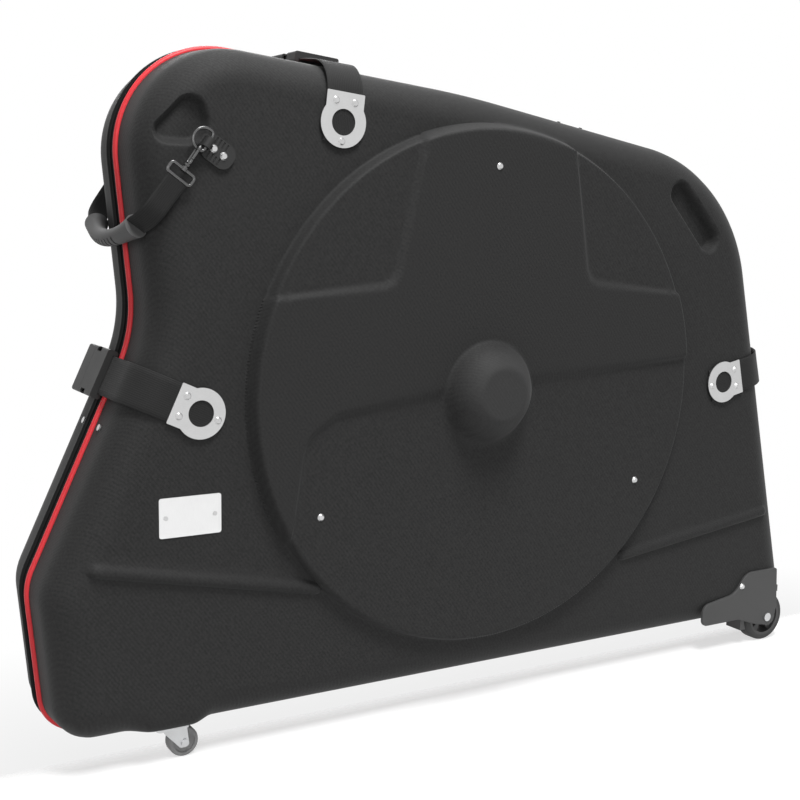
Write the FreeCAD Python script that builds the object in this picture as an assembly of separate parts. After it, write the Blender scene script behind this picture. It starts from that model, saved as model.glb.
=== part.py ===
import FreeCAD, Part
import math
import os

V = FreeCAD.Vector
ORIGIN = V(0, 0, 0)
ALONG_X = V(1, 0, 0)
ALONG_Y = V(0, 1, 0)
ALONG_Z = V(0, 0, 1)

# Moulded bike travel case. Millimetres, +Z up, floor at Z 0, X along the case (handle end at -X),
# Y through its thickness with the parting plane at Y 0 and the near half at -Y.

# Parting outline seen from the near side: corner places and corner radii
bottom_z = 37.0
front_toe_x = -563.0
front_toe_r = 48.0
rear_toe_x = 591.0
rear_toe_r = 55.0
rear_shoulder_x = 440.0
rear_shoulder_z = 719.0
rear_shoulder_r = 230.0
top_bend_x = -22.0
top_bend_z = 802.0
top_bend_r = 1500.0
front_shoulder_x = -478.0
front_shoulder_z = 851.0
front_shoulder_r = 121.0
waist_x = -445.0
waist_z = 511.0
waist_r = 170.0
flare_x = -580.0
flare_z = 219.0
flare_r = 70.0

# Half shell
half_depth = 92.0
rim_y = 8.0
wall = 5.0
draft_in = 5.0
edge_r = 45.0
full_round_gap = 0.5

# Wheel dish, its raised web (points x, z, corner radius from the dish centre) and its hub boss
dish_x = -2.0
dish_z = 425.0
dish_r = 330.0
dish_rise = 20.0
dish_flare = 9.0
dish_round = 8.0
panel_drop = 6.0
crease_flare = 9.0
web_overrun = 40.0
web_end_r = 4.0
web_stem_r = 22.0
web_reach = dish_r + web_overrun
web_points = (
    (-web_reach, -330.0, web_end_r), (-292.0, -200.0, 30.0), (-268.0, -45.0, 40.0), (-225.0, -18.0, 40.0),
    (-68.0, 0.0, 60.0), (web_reach, 31.0, web_end_r), (web_reach, 112.0, web_end_r),
    (150.0, 136.0, web_stem_r), (112.0, web_reach, web_end_r), (-94.0, web_reach, web_end_r),
    (-147.0, 138.0, web_stem_r), (-web_reach, 119.0, web_end_r),
)
boss_base_r = 66.0
boss_top_r = 34.0
boss_rise = 36.0
boss_round = 5.0
boss_belly = 6.0

# Half-round ribs low on the face: ends measured from the dish centre
rib_r = 7.0
rib_front_ends = ((-521.0, -177.0), (-246.0, -234.0))
rib_rear_ends = ((240.0, -253.0), (512.0, -218.0))

# Hand-hold slot and corner pocket
slot_x = 377.0
slot_z = 641.0
slot_length = 150.0
slot_width = 26.0
slot_slope = -39.7
slot_depth = 22.0
slot_floor_r = 4.0
pocket_x = -412.0
pocket_z = 745.0
pocket_corners = ((-45.0, -20.0, 12.0), (38.0, -23.0, 24.0), (14.0, 43.0, 16.0))
pocket_depth = 15.0
pocket_flare = 4.0

# Piping and zip
piping_width = 8.0
piping_height = 4.8
piping_round = 3.6
tape_thick = 1.6
tape_inset = 0.6
coil_height = 2.2
coil_width = 3.0
zip_gap = 0.2
zip_front_end_x = -500.0
zip_rear_end_x = 455.0
slider_front_x = 168.0
slider_rear_x = 206.0
slider_length = 15.0
slider_width = 11.0
slider_height = 4.0
slider_lift = 0.3
slider_round = 1.2
pull_length = 22.0
rear_pull_length = 40.0
pull_width = 7.0
pull_thick = 1.8
pull_round = 2.0
pull_gap = 0.2
pull_pin_r = 1.2
pull_eye_r = 2.2
pull_eye_width = 4.0
slider_lug = 1.6

# Hinge strip along the bottom
hinge_thick = 2.0
hinge_end_gap = 1.0

# Lashing straps, their plates and buckles
webbing = 48.0
web_thick = 2.2
web_lift = 0.5
plate_ring_r = 30.0
plate_hole_r = 15.5
plate_tab_width = 50.0
plate_tab_reach = 35.0
plate_thick = 1.5
plate_corner_r = 1.5
plate_lift = 0.1
plate_rivet_reach = 24.0
plate_rivet_spread = 25.0
plate_rivet_back = 22.5
rivet_head_r = 4.6
rivet_head_h = 2.0
rivet_bevel = 1.6
rivet_r = 1.6
rivet_gap = 0.1
rivet_tail_r = 3.6
rivet_tail_h = 1.0
lining = 1.0
strap_rise = 8.5
strap_shoulder_x = 0.5
strap_bend_r = 46.0
strap_crest_y = 16.0
strap_crest_r = 22.0
strap_far_bend_r = 25.0
strap_end_inset = 6.0
strap_hold = 9.0
buckle_width = 60.0
buckle_thick = 13.0
buckle_start_y = -8.0
female_length = 46.0
male_length = 26.0
prong_length = 24.0
prong_width = 7.0
prong_spread = 21.5
buckle_wall = 2.2
buckle_round = 3.0
buckle_gap = 0.4
buckle_clear = 1.2
window_inset = 3.0
window_length = 14.0
window_depth = 6.0
top_ring = (-216.0, 754.0)
front_ring = (-397.0, 419.0)
rear_ring = (414.0, 411.0)

# Carrying handle: everything swings about the centre of the D-ring's bow
pivot_x = -393.0
pivot_z = 727.0
handle_angle = 234.0
dring_angle = 146.0
dring_r = 13.0
dring_bar_x = -6.0
dring_corner_r = 4.5
wire_r = 1.8
dring_y = 102.0
tab_length = 38.0
tab_width = 30.0
tab_thick = 4.0
tab_round = 13.0
tab_overhang = 4.0
lug_wall = 3.0
lug_width = 12.0
lug_gap = 0.15
groove_count = 4
groove_pitch = 5.0
groove_start = 14.0
groove_width = 2.0
groove_depth = 1.0
groove_offset = 9.5
groove_length = 8.0
tab_rivet_x = (-17.0, -31.0)
tab_rivet_r = 4.6
hook_nose_x = 9.0
hook_root_x = 34.0
hook_half = 4.4
hook_wire_r = 2.0
gate_inset = 6.3
gate_gap = 0.3
gate_slim = 0.2
collar_r = 3.5
collar_length = 2.5
shank_length = 7.0
eye_width = 32.0
eye_length = 12.0
eye_round = 3.5
eye_boss_length = 5.0
eye_gap = 0.3
shank_gap = 0.1
handle_webbing = 26.0
grip_r = 10.0
grip_end_r = 14.0
grip_flare_power = 4
grip_rings = 9
grip_reach = 137.0
grip_end_y = 72.0
grip_bow_r = 150.0
grip_ribs = 8
grip_rib_pitch = 9.0
grip_rib_gap = 3.6
grip_rib_depth = 3.0
grip_core_gap = 0.4
strap_lead = 28.0
strap_knee_r = 30.0

# Name plate
name_x = -410.0
name_z = 300.0
name_length = 76.0
name_height = 47.0
name_thick = 1.2
name_round = 3.0
name_screw_span = 60.0
name_screw_r = 2.6
name_screw_h = 1.2

# Rivets in the dish that hold the inner wheel straps, and one in the front wall
dish_rivet_inset = 46.0
dish_rivet_angles = (90.0, 210.0, 330.0)
dish_rivet_head_r = 4.6
inner_strap_width = 40.0
inner_strap_length = 96.0
inner_strap_thick = 2.5
inner_strap_out = 16.0
inner_strap_round = 6.0
wall_rivet_y = 30.0
wall_rivet_z = 400.0
wall_rivet_head_r = 4.0

# Rear wheels and their corner housings (cheek points: x from the axle, z, corner radius)
wheel_r = 38.0
wheel_x = 530.0
wheel_y = 79.0
wheel_width = 24.0
tyre_depth = 8.0
hub_r = 11.0
wheel_spokes = 5
spoke_width = 8.0
spoke_inset = 4.0
spoke_turn = 18.0
rim_thick = 4.0
tyre_round = 5.0
axle_r = 4.0
axle_gap = 0.06
axle_head_r = 6.5
axle_head_h = 2.0
wheel_side_gap = 1.0
wheel_top_gap = 6.0
housing_plate = 4.0
housing_web = 3.0
housing_gap = 0.3
cheek_points = (
    (-134.0, 42.0, 10.0), (-60.0, 42.0, 12.0), (-25.0, 30.0, 14.0), (14.0, 22.0, 13.0), (20.0, 55.0, 20.0),
    (17.0, 114.0, 4.0), (-46.0, 114.0, 26.0), (-70.0, 84.0, 28.0), (-134.0, 74.0, 15.0),
)
cheek_round = 1.5
shoulder_reach = 24.0
shoulder_low = 23.0
niche_front_x = 478.0
housing_rivet = (474.0, 94.0)

# Front swivel casters
caster_x = -430.0
caster_y = 64.0
caster_r = 18.5
caster_width = 17.0
caster_trail = 17.0
caster_plate = 40.0
caster_plate_thick = 2.5
caster_plate_round = 4.0
caster_pad_z = 43.0
caster_pad = 46.0
caster_bolt_span = 29.0
caster_bolt_r = 1.8
caster_bolt_head_r = 3.6
caster_bolt_head_h = 1.6
fork_thick = 2.0
fork_side_gap = 0.8
fork_head_r = 13.0
crown_reach = 4.5
cheek_front = 12.0
cheek_tip = 5.8
caster_round = 3.0
caster_rim = 5.0
caster_hub_wall = 4.0
caster_dish = 2.0
bearing_r = 14.0
bearing_h = 2.4
kingpin_r = 4.0
kingpin_head_r = 6.0
kingpin_head_h = 1.5
caster_axle_r = 3.0
caster_nut_r = 4.6
caster_nut_h = 2.2
swivel_gap = 0.2
backing_thick = 2.0

# Derived places
dish_y = half_depth + dish_rise
panel_y = dish_y - panel_drop
boss_y = dish_y + boss_rise
dish_rivet_ring_r = dish_r - dish_rivet_inset
rivet_seat = half_depth - wall - lining
strap_y = half_depth + web_lift + web_thick / 2
plate_y = half_depth + web_lift + web_thick + plate_lift
OUTLINE = (
    (front_toe_x, bottom_z, front_toe_r),
    (rear_toe_x, bottom_z, rear_toe_r),
    (rear_shoulder_x, rear_shoulder_z, rear_shoulder_r),
    (top_bend_x, top_bend_z, top_bend_r),
    (front_shoulder_x, front_shoulder_z, front_shoulder_r),
    (waist_x, waist_z, waist_r),
    (flare_x, flare_z, flare_r),
)
REAR_EDGE, TOP_REAR_EDGE, TOP_EDGE, FLARE_EDGE = (OUTLINE[i:i + 2] for i in (1, 2, 3, 5))


# Small geometry helpers
def unit(a, b):
    run, rise = b[0] - a[0], b[1] - a[1]
    length = math.hypot(run, rise)
    return run / length, rise / length


def inset(corners, distance):
    """The same rounded outline, every side moved inwards; corners run anticlockwise."""
    moved = []
    for i, (x, z, r) in enumerate(corners):
        a = unit(corners[i - 1], corners[i])
        b = unit(corners[i], corners[(i + 1) % len(corners)])
        normal = (-a[1] - b[1], a[0] + b[0])
        k = distance / (1 + a[0] * b[0] + a[1] * b[1])
        convex = a[0] * b[1] - a[1] * b[0] > 0
        moved.append((x + normal[0] * k, z + normal[1] * k, r - distance if convex else r + distance))
    return moved


def corner_arc(before, corner, after, y):
    """Start, middle and end of the arc that rounds one corner, in the plane at y."""
    x, z, r = corner
    a, b = unit(before, corner), unit(corner, after)
    turn = math.acos(a[0] * b[0] + a[1] * b[1])
    reach, lift = r * math.tan(turn / 2), r / math.cos(turn / 2) - r
    size = math.hypot(b[0] - a[0], b[1] - a[1])
    middle = (x + (b[0] - a[0]) / size * lift, z + (b[1] - a[1]) / size * lift)
    start, end = V(x - a[0] * reach, y, z - a[1] * reach), V(x + b[0] * reach, y, z + b[1] * reach)
    return start, V(middle[0], y, middle[1]), end


def path_edges(here, arcs):
    """Lines and arcs in turn, from the point here to the end of the last arc."""
    edges = []
    for start, middle, end in arcs:
        if here.distanceToPoint(start) > 1e-4:
            edges.append(Part.LineSegment(here, start).toShape())
        edges.append(Part.Arc(start, middle, end).toShape())
        here = end
    return edges, here


def ring_wire(corners, y):
    """Closed wire of a rounded outline in the plane at y."""
    n = len(corners)
    arcs = [corner_arc(corners[i - 1], corners[i], corners[(i + 1) % n], y) for i in range(n)]
    return Part.Wire(path_edges(arcs[-1][2], arcs)[0])


def open_wire(corners):
    """Open wire through (x, y, radius) points of the XY plane; end points have radius 0."""
    inner = range(1, len(corners) - 1)
    flat = [corner_arc(corners[i - 1], corners[i], corners[i + 1], 0) for i in inner]
    arcs = [[V(p.x, p.z, 0) for p in arc] for arc in flat]
    edges, here = path_edges(V(corners[0][0], corners[0][1], 0), arcs)
    edges.append(Part.LineSegment(here, V(corners[-1][0], corners[-1][1], 0)).toShape())
    return Part.Wire(edges)


def prism(corners, y0, y1, in0=0.0, in1=0.0):
    """Solid between a rounded outline at y0 and the same outline, inset, at y1."""
    start = ring_wire(inset(corners, in0), y0)
    if in0 == in1:
        return Part.Face(start).extrude(V(0, y1 - y0, 0))
    return Part.makeLoft([start, ring_wire(inset(corners, in1), y1)], True, True)


def rounded_at(solid, y, r):
    """Rounds every edge that lies in the plane at y."""
    flat = [e for e in solid.Edges if all(abs(p.Point.y - y) < 1e-3 for p in e.Vertexes)]
    return solid.makeFillet(r, flat)


def rounded_along(solid, axis, r):
    """Rounds every edge that runs along an axis."""
    straight = [e for e in solid.Edges if abs(e.tangentAt(e.FirstParameter).dot(axis)) > 0.9]
    return solid.makeFillet(r, straight)


def rod(x, z, y0, y1, r):
    """Round rod along Y."""
    return Part.makeCylinder(r, abs(y1 - y0), V(x, min(y0, y1), z), ALONG_Y)


def block(x0, x1, y0, y1, z0, z1):
    return Part.makeBox(x1 - x0, y1 - y0, z1 - z0, V(x0, y0, z0))


def placed(shape, x, z, angle):
    """Turns a shape about Y so that its +X points along angle in the XZ plane, then moves it."""
    moved = shape.copy()
    moved.rotate(ORIGIN, ALONG_Y, -angle)
    moved.translate(V(x, 0, z))
    return moved


def spot(x, z, angle, along, across=0.0):
    """Place in XZ that lies along and across a direction, from x, z."""
    c, s = math.cos(math.radians(angle)), math.sin(math.radians(angle))
    return x + along * c - across * s, z + along * s + across * c


def box_corners(x0, x1, z0, z1, r):
    return [(x0, z0, r), (x1, z0, r), (x1, z1, r), (x0, z1, r)]


def wire_loop(corners, y, r):
    """Round wire bent along a closed rounded outline in the plane at y."""
    path = ring_wire(corners, y)
    start = path.Edges[0].firstVertex().Point
    tangent = path.Edges[0].tangentAt(path.Edges[0].FirstParameter)
    circle = Part.Wire(Part.makeCircle(r, start, tangent))
    return path.makePipeShell([circle], True, False)


def band(corners, width, thick):
    """Flat webbing along an open path of the XY plane, centred on its width in Z."""
    line = open_wire(corners)
    face = line.makeOffset2D(thick / 2, 2, True, True)
    strip = face.extrude(V(0, 0, width))
    strip.translate(V(0, 0, -width / 2))
    return strip


def edge_foot(x, z, side):
    """Distance from x, z to one side of the outline, and the side's outward angle."""
    a, b = side
    d = unit(a, b)
    out = (d[1], -d[0])
    distance = (a[0] - x) * out[0] + (a[1] - z) * out[1]
    return distance, math.degrees(math.atan2(out[1], out[0]))


def mirrored(shape):
    return shape.mirror(ORIGIN, ALONG_Y)


def rivet(x, z, y_out, y_in, head_r):
    """Rivet along Y: bevelled head outside at y_out, flat tail inside at y_in."""
    top_r = head_r - rivet_bevel
    head = Part.makeCone(head_r, top_r, rivet_head_h, V(x, -y_out, z), V(0, -1, 0))
    shank = rod(x, z, -y_out, -y_in, rivet_r)
    tail = rod(x, z, -y_in, -y_in + rivet_tail_h, rivet_tail_r)
    return head.fuse([shank, tail])


def rivet_hole(x, z):
    """Drill through the skin of the face at x, z."""
    return rod(x, z, -boss_y, -half_depth + edge_r, rivet_r + rivet_gap)


# Half shell form
def web_corners():
    """Raised web of the dish: a stem upwards, a band across and a leg down its front rim."""
    return [(dish_x + x, dish_z + z, r) for x, z, r in web_points]


def disc(y, skin):
    """Round dish up to the plane at y, with a sloping side and a rounded rim."""
    rise = y - half_depth + edge_r
    slope = dish_flare / dish_rise
    base_r = dish_r - skin + slope * rise
    cone = Part.makeCone(base_r, dish_r - skin, rise, V(dish_x, -half_depth + edge_r, dish_z), V(0, -1, 0))
    return rounded_at(cone, -y, dish_round)


def dish(skin):
    low = disc(panel_y - skin, skin)
    high = disc(dish_y - skin, skin)
    spread = crease_flare / 2
    web = prism(web_corners(), -panel_y + edge_r, -dish_y + skin, skin - spread, skin + spread)
    start = V(boss_base_r - skin, -half_depth, 0)
    foot = V(boss_base_r - skin, -panel_y + skin, 0)
    shoulder = V(boss_top_r + boss_round - skin, -boss_y + skin + boss_round, 0)
    lean = V((foot.x + shoulder.x) / 2 + boss_belly, (foot.y + shoulder.y) / 2 - boss_belly, 0)
    top = V(boss_top_r - skin, -boss_y + skin, 0)
    centre = V(0, -boss_y + skin, 0)
    profile = [
        Part.LineSegment(V(0, -half_depth, 0), start).toShape(),
        Part.LineSegment(start, foot).toShape(),
        Part.Arc(foot, lean, shoulder).toShape(),
        Part.LineSegment(shoulder, top).toShape(),
        Part.LineSegment(top, centre).toShape(),
        Part.LineSegment(centre, V(0, -half_depth, 0)).toShape(),
    ]
    boss = Part.Face(Part.Wire(profile)).revolve(ORIGIN, ALONG_Y, 360)
    boss.translate(V(dish_x, 0, dish_z))
    return low.fuse([high.common(web), boss])


def rib(ends):
    (x0, z0), (x1, z1) = ends
    a, b = V(dish_x + x0, -half_depth, dish_z + z0), V(dish_x + x1, -half_depth, dish_z + z1)
    bar = Part.makeCylinder(rib_r, a.distanceToPoint(b), a, b - a)
    return bar.fuse([Part.makeSphere(rib_r, a), Part.makeSphere(rib_r, b)])


def slot_pocket(skin):
    half, r = slot_length / 2 + skin, slot_width / 2 + skin
    floor_y = -half_depth + slot_depth + skin
    form = prism(box_corners(-half, half, -r, r, r - full_round_gap), -half_depth - edge_r, floor_y)
    return placed(rounded_at(form, floor_y, slot_floor_r), slot_x, slot_z, slot_slope)


def corner_pocket(skin):
    """Shallow pocket of a rounded triangle, its walls leaning out towards the face."""
    corners = [(pocket_x + x, pocket_z + z, r) for x, z, r in pocket_corners]
    floor_y = -half_depth + pocket_depth + skin
    return prism(inset(corners, -skin), -half_depth - edge_r, floor_y, -pocket_flare, pocket_flare / 2)


def wheel_niche(skin):
    top = wheel_r * 2 + wheel_top_gap + housing_web + housing_gap + skin
    inner_y = wheel_y - wheel_width / 2 - wheel_side_gap - housing_web - housing_gap - skin
    return block(niche_front_x - skin, rear_toe_x + edge_r, -half_depth - edge_r, -inner_y, -edge_r, top)


def half_form(skin):
    """Closed form of one half, moved inwards by skin."""
    body = prism(OUTLINE, -rim_y, -half_depth + skin, skin, skin + draft_in)
    body = rounded_at(body, -half_depth + skin, edge_r - skin)
    body = body.fuse(dish(skin))
    half = caster_pad / 2 - skin
    low, high = caster_pad_z + skin, bottom_z + edge_r
    pad = block(caster_x - half, caster_x + half, -caster_y - half, -caster_y + half, low, high)
    body = body.fuse(pad)
    if skin == 0:
        body = body.fuse([rib(rib_front_ends), rib(rib_rear_ends)])
    body = body.cut(slot_pocket(skin)).cut(corner_pocket(skin)).cut(wheel_niche(skin))
    under_pad = block(
        caster_x - caster_plate, caster_x + caster_plate, -half_depth - edge_r, -caster_y + caster_pad / 2,
        0, low,
    )
    return body.cut(under_pad)


# Straps with their plates and buckles, each in its own frame: +X out of the edge, origin on the edge
def strap_near(ring):
    corners = [
        (strap_tail_x(ring), -strap_y, 0), (strap_shoulder_x, -strap_y, strap_bend_r),
        (strap_rise, -strap_crest_y, strap_crest_r), (strap_rise, buckle_start_y + strap_hold, 0),
    ]
    return band(corners, webbing, web_thick)


def strap_tail_x(ring):
    """End of the webbing, just inside the far rim of the plate's ring."""
    return -ring - plate_ring_r + strap_end_inset


def strap_far(ring):
    end = buckle_start_y + female_length + male_length - strap_hold
    bend = strap_rise, strap_y, strap_far_bend_r
    corners = [(strap_tail_x(ring), strap_y, 0), bend, (strap_rise, end, 0)]
    return band(corners, webbing, web_thick)


def keyhole_plate(ring):
    x, half = -ring, plate_tab_width / 2
    tab = box_corners(x, x + plate_tab_reach, -half, half, plate_corner_r)
    form = prism(tab, -plate_y - plate_thick, -plate_y)
    form = form.fuse(rod(x, 0, -plate_y - plate_thick, -plate_y, plate_ring_r))
    return form.cut(rod(x, 0, -plate_y - plate_thick, -plate_y, plate_hole_r)).removeSplitter()


def plate_rivet_spots(ring):
    x, half = -ring, plate_rivet_spread / 2
    return (x + plate_rivet_reach, half), (x + plate_rivet_reach, -half), (x - plate_rivet_back, 0.0)


def buckle_block(y0, y1):
    """Rounded block of one buckle half round the webbing, with its low and high face."""
    low = strap_rise - web_thick / 2 - buckle_wall
    high = low + buckle_thick
    body = block(low, high, y0, y1, -buckle_width / 2, buckle_width / 2)
    return rounded_along(body, ALONG_Y, buckle_round), low, high


def webbing_slit(y0, y1):
    half, reach = web_thick / 2 + buckle_gap, webbing / 2 + buckle_gap
    return block(strap_rise - half, strap_rise + half, y0, y1, -reach, reach)


def buckle_female():
    y0, y1 = buckle_start_y, buckle_start_y + female_length
    body, low, high = buckle_block(y0, y1)
    half = buckle_width / 2 - buckle_wall
    mouth_y = y1 - prong_length - buckle_clear
    mouth = block(low + buckle_wall, high - buckle_wall, mouth_y, y1, -half, half)
    body = body.cut(mouth).cut(webbing_slit(y0, y0 + strap_hold + buckle_gap))
    start = mouth_y + window_inset
    for side in (-1, 1):
        z = side * buckle_width / 2
        window = block(low, high, start, start + window_length, z - window_depth, z + window_depth)
        body = body.cut(window)
    return body


def buckle_male():
    y0 = buckle_start_y + female_length + buckle_gap
    y1 = buckle_start_y + female_length + male_length
    body, low, high = buckle_block(y0, y1)
    body = body.cut(webbing_slit(y1 - strap_hold - buckle_gap, y1))
    low, high = low + buckle_wall + buckle_clear, high - buckle_wall - buckle_clear
    for z in (-prong_spread, 0, prong_spread):
        prong = block(low, high, y0 - prong_length, y0, z - prong_width / 2, z + prong_width / 2)
        body = body.fuse(prong)
    return body


# Carrying handle pieces, in a frame with +X away from the pivot
def dring():
    corners = box_corners(dring_bar_x, dring_r, -dring_r, dring_r, dring_r - 0.1)
    corners[0] = (dring_bar_x, -dring_r, dring_corner_r)
    corners[3] = (dring_bar_x, dring_r, dring_corner_r)
    return wire_loop(corners, -dring_y, wire_r)


def handle_tab():
    """Ribbed rubber tab with the lug that holds the D-ring's bar."""
    end, half = dring_bar_x - tab_length, tab_width / 2
    outline = box_corners(end, dring_bar_x + tab_overhang, -half, half, tab_round)
    pad = prism(outline, -half_depth - tab_thick, -half_depth)
    lug_r = wire_r + lug_wall
    lug = Part.makeCylinder(lug_r, lug_width, V(dring_bar_x, -dring_y, -lug_width / 2), ALONG_Z)
    post = block(
        dring_bar_x - lug_r, dring_bar_x + lug_r, -dring_y, -half_depth, -lug_width / 2, lug_width / 2,
    )
    bore = Part.makeCylinder(wire_r + lug_gap, lug_width, V(dring_bar_x, -dring_y, -lug_width / 2), ALONG_Z)
    body = pad.fuse([lug, post]).cut(bore)
    top = -half_depth - tab_thick
    for i in range(groove_count):
        x = end + groove_start + i * groove_pitch
        for side in (-1, 1):
            z = side * groove_offset
            groove = block(
                x, x + groove_width, top, top + groove_depth, z - groove_length / 2, z + groove_length / 2,
            )
            body = body.cut(groove)
    return body


def snap_hook():
    """Bent hook whose loop runs round the D-ring's bow; the front side is left to the gate."""
    corner_r = hook_half - 0.1
    loop = wire_loop(box_corners(hook_nose_x, hook_root_x, -hook_half, hook_half, corner_r), 0, hook_wire_r)
    loop.rotate(ORIGIN, ALONG_X, 90)
    loop.translate(V(0, -dring_y, 0))
    start, end = gate_span()
    thick = hook_wire_r * 2
    cut = block(
        start - gate_gap, end + gate_gap, -dring_y - hook_half - thick, -dring_y - hook_half + thick,
        -thick, thick,
    )
    shank = Part.makeCylinder(hook_wire_r, shank_length, V(hook_root_x, -dring_y, 0), ALONG_X)
    collar = Part.makeCylinder(collar_r, collar_length, V(hook_root_x, -dring_y, 0), ALONG_X)
    return loop.cut(cut).fuse([shank, collar])


def gate_span():
    return hook_nose_x + gate_inset, hook_root_x - gate_inset


def hook_gate():
    """Sprung bar that closes the hook's open side; its ball end at the root is the hinge."""
    start, end = gate_span()
    y, r = -dring_y - hook_half, hook_wire_r - gate_slim
    bar = Part.makeCylinder(r, end - start - r, V(start, y, 0), ALONG_X)
    return bar.fuse(Part.makeSphere(r, V(end - r, y, 0)))


def strap_eye():
    """Flat wire eye for the webbing, with a boss that turns on the hook's shank."""
    start, half = eye_start(), eye_width / 2
    loop = wire_loop(box_corners(start, start + eye_length, -half, half, eye_round), -dring_y, hook_wire_r)
    base = V(start - eye_boss_length / 2, -dring_y, 0)
    boss = Part.makeCylinder(collar_r, eye_boss_length, base, ALONG_X)
    bore = Part.makeCylinder(hook_wire_r + shank_gap, eye_boss_length, base, ALONG_X)
    return loop.fuse(boss).cut(bore)


def eye_start():
    return hook_root_x + shank_length - shank_gap


def handle_strap():
    start = eye_start() + eye_length + hook_wire_r + eye_gap
    turn = grip_half_turn()
    run = V(math.sin(turn), math.cos(turn), 0)
    end = V(grip_reach - grip_bow_r * (1 - math.cos(turn)), -grip_end_y, 0) - run * grip_core_gap
    knee = end - run * strap_lead
    corners = [(start, -dring_y, 0), (knee.x, knee.y, strap_knee_r), (end.x, end.y, 0)]
    return band(corners, handle_webbing, web_thick)


def grip_half_turn():
    return math.asin(grip_end_y / grip_bow_r)


def grip():
    """Moulded grip: a bar bent to a bow, flared at both ends, with finger ribs on its outer side."""
    turn = math.degrees(grip_half_turn())
    rings = []
    for i in range(grip_rings):
        share = 2 * i / (grip_rings - 1) - 1
        r = grip_r + (grip_end_r - grip_r) * abs(share) ** grip_flare_power
        ring = Part.Wire(Part.makeCircle(r, V(grip_bow_r, 0, 0), ALONG_Y))
        rings.append(ring.rotated(ORIGIN, ALONG_Z, share * turn))
    bar = Part.makeLoft(rings, True)
    crest, half = grip_bow_r + grip_r, grip_rib_gap / 2
    for i in range(grip_ribs + 1):
        along = (i - grip_ribs / 2) * grip_rib_pitch
        gap = block(crest - grip_rib_depth, crest + grip_end_r, -half, half, -grip_r, grip_r)
        bar = bar.cut(gap.rotated(ORIGIN, ALONG_Z, math.degrees(along / grip_bow_r)))
    return bar.translated(V(grip_reach - grip_bow_r, 0, 0))


# Rear wheel, housing and axle
def wheel_rod(r, trim=0.0):
    """Round along the rear axle across the wheel's width, less a trim at each side."""
    half = wheel_width / 2 - trim
    return rod(wheel_x, wheel_r, -wheel_y - half, -wheel_y + half, r)


def rear_hub():
    r = wheel_r - tyre_depth
    rim = wheel_rod(r).cut(wheel_rod(r - rim_thick))
    half = wheel_width / 2 - spoke_inset
    spokes = []
    for i in range(wheel_spokes):
        start, end = hub_r - rim_thick / 2, r - rim_thick / 2
        spoke = block(start, end, -wheel_y - half, -wheel_y + half, -spoke_width / 2, spoke_width / 2)
        spokes.append(placed(spoke, wheel_x, wheel_r, 360 / wheel_spokes * i + spoke_turn))
    hub = rim.fuse([wheel_rod(hub_r)] + spokes)
    return hub.cut(wheel_rod(axle_r + axle_gap)).removeSplitter()


def rear_tyre():
    tyre = wheel_rod(wheel_r)
    for side in (-1, 1):
        tyre = rounded_at(tyre, -wheel_y + side * wheel_width / 2, tyre_round)
    return tyre.cut(wheel_rod(wheel_r - tyre_depth))


def housing_walls():
    """Planes of the housing: outside, under its outer plate, inner wall, back of the inner wall."""
    outside = half_depth + housing_gap + housing_plate
    cavity = wheel_width / 2 + wheel_side_gap
    return outside, wheel_y + cavity, wheel_y - cavity, wheel_y - cavity - housing_web


def rear_housing():
    """Corner housing: a shaped cheek plate outside, a box behind it that holds the axle."""
    outside, cavity_out, cavity_in, back = housing_walls()
    front, top = niche_front_x + housing_gap, wheel_r * 2 + wheel_top_gap + housing_web
    cheek = prism([(wheel_x + x, z, r) for x, z, r in cheek_points], -outside, -half_depth - housing_gap)
    cheek = rounded_at(cheek, -outside, cheek_round)
    end = wheel_x + shoulder_reach
    box = block(front, end, -half_depth - housing_gap, -back, shoulder_low, top)
    hollow = block(front + housing_web, end, -cavity_out, -cavity_in, 0, top - housing_web)
    well = rod(wheel_x, wheel_r, -outside + housing_plate, -cavity_in, wheel_r + wheel_top_gap - housing_gap)
    body = cheek.fuse(box).cut(hollow).cut(well)
    return body.cut(rod(wheel_x, wheel_r, -outside, -back, axle_r + axle_gap))


def rear_axle():
    outside, cavity_out, cavity_in, back = housing_walls()
    pin = rod(wheel_x, wheel_r, -outside, -back, axle_r)
    return pin.fuse(rod(wheel_x, wheel_r, -outside - axle_head_h, -outside, axle_head_r))


# Front caster: fixed plate, swivelling fork, wheel and axle
def caster_bolt_spots():
    h = caster_bolt_span / 2
    return [(caster_x + i * h, -caster_y + j * h) for i in (-1, 1) for j in (-1, 1)]


def caster_plate_piece():
    """Screwed plate with the bearing race and the riveted pin that the fork swivels on."""
    h, low = caster_plate / 2, caster_pad_z - caster_plate_thick
    plate = block(caster_x - h, caster_x + h, -caster_y - h, -caster_y + h, low, caster_pad_z)
    plate = rounded_along(plate, ALONG_Z, caster_plate_round)
    race_z = low - bearing_h
    pin_z = race_z - fork_thick - swivel_gap * 2
    race = Part.makeCylinder(bearing_r, bearing_h, V(caster_x, -caster_y, race_z))
    pin = Part.makeCylinder(kingpin_r, race_z - pin_z, V(caster_x, -caster_y, pin_z))
    knob = Part.makeCylinder(kingpin_head_r, kingpin_head_h, V(caster_x, -caster_y, pin_z - kingpin_head_h))
    body = plate.fuse([race, pin, knob])
    for x, y in caster_bolt_spots():
        body = body.cut(Part.makeCylinder(caster_bolt_r + rivet_gap, caster_plate_thick, V(x, y, low)))
    return body


def caster_bolts():
    low = caster_pad_z - caster_plate_thick
    bolts = []
    for x, y in caster_bolt_spots():
        head = Part.makeCylinder(caster_bolt_head_r, caster_bolt_head_h, V(x, y, low - caster_bolt_head_h))
        top = caster_pad_z + wall + backing_thick
        shank = Part.makeCylinder(caster_bolt_r, top - low, V(x, y, low))
        bolts.append(head.fuse(shank))
    return bolts


def fork_levels():
    """Top of the fork's crown and half its inside width."""
    top = caster_pad_z - caster_plate_thick - bearing_h - swivel_gap
    return top, caster_width / 2 + fork_side_gap


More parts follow.
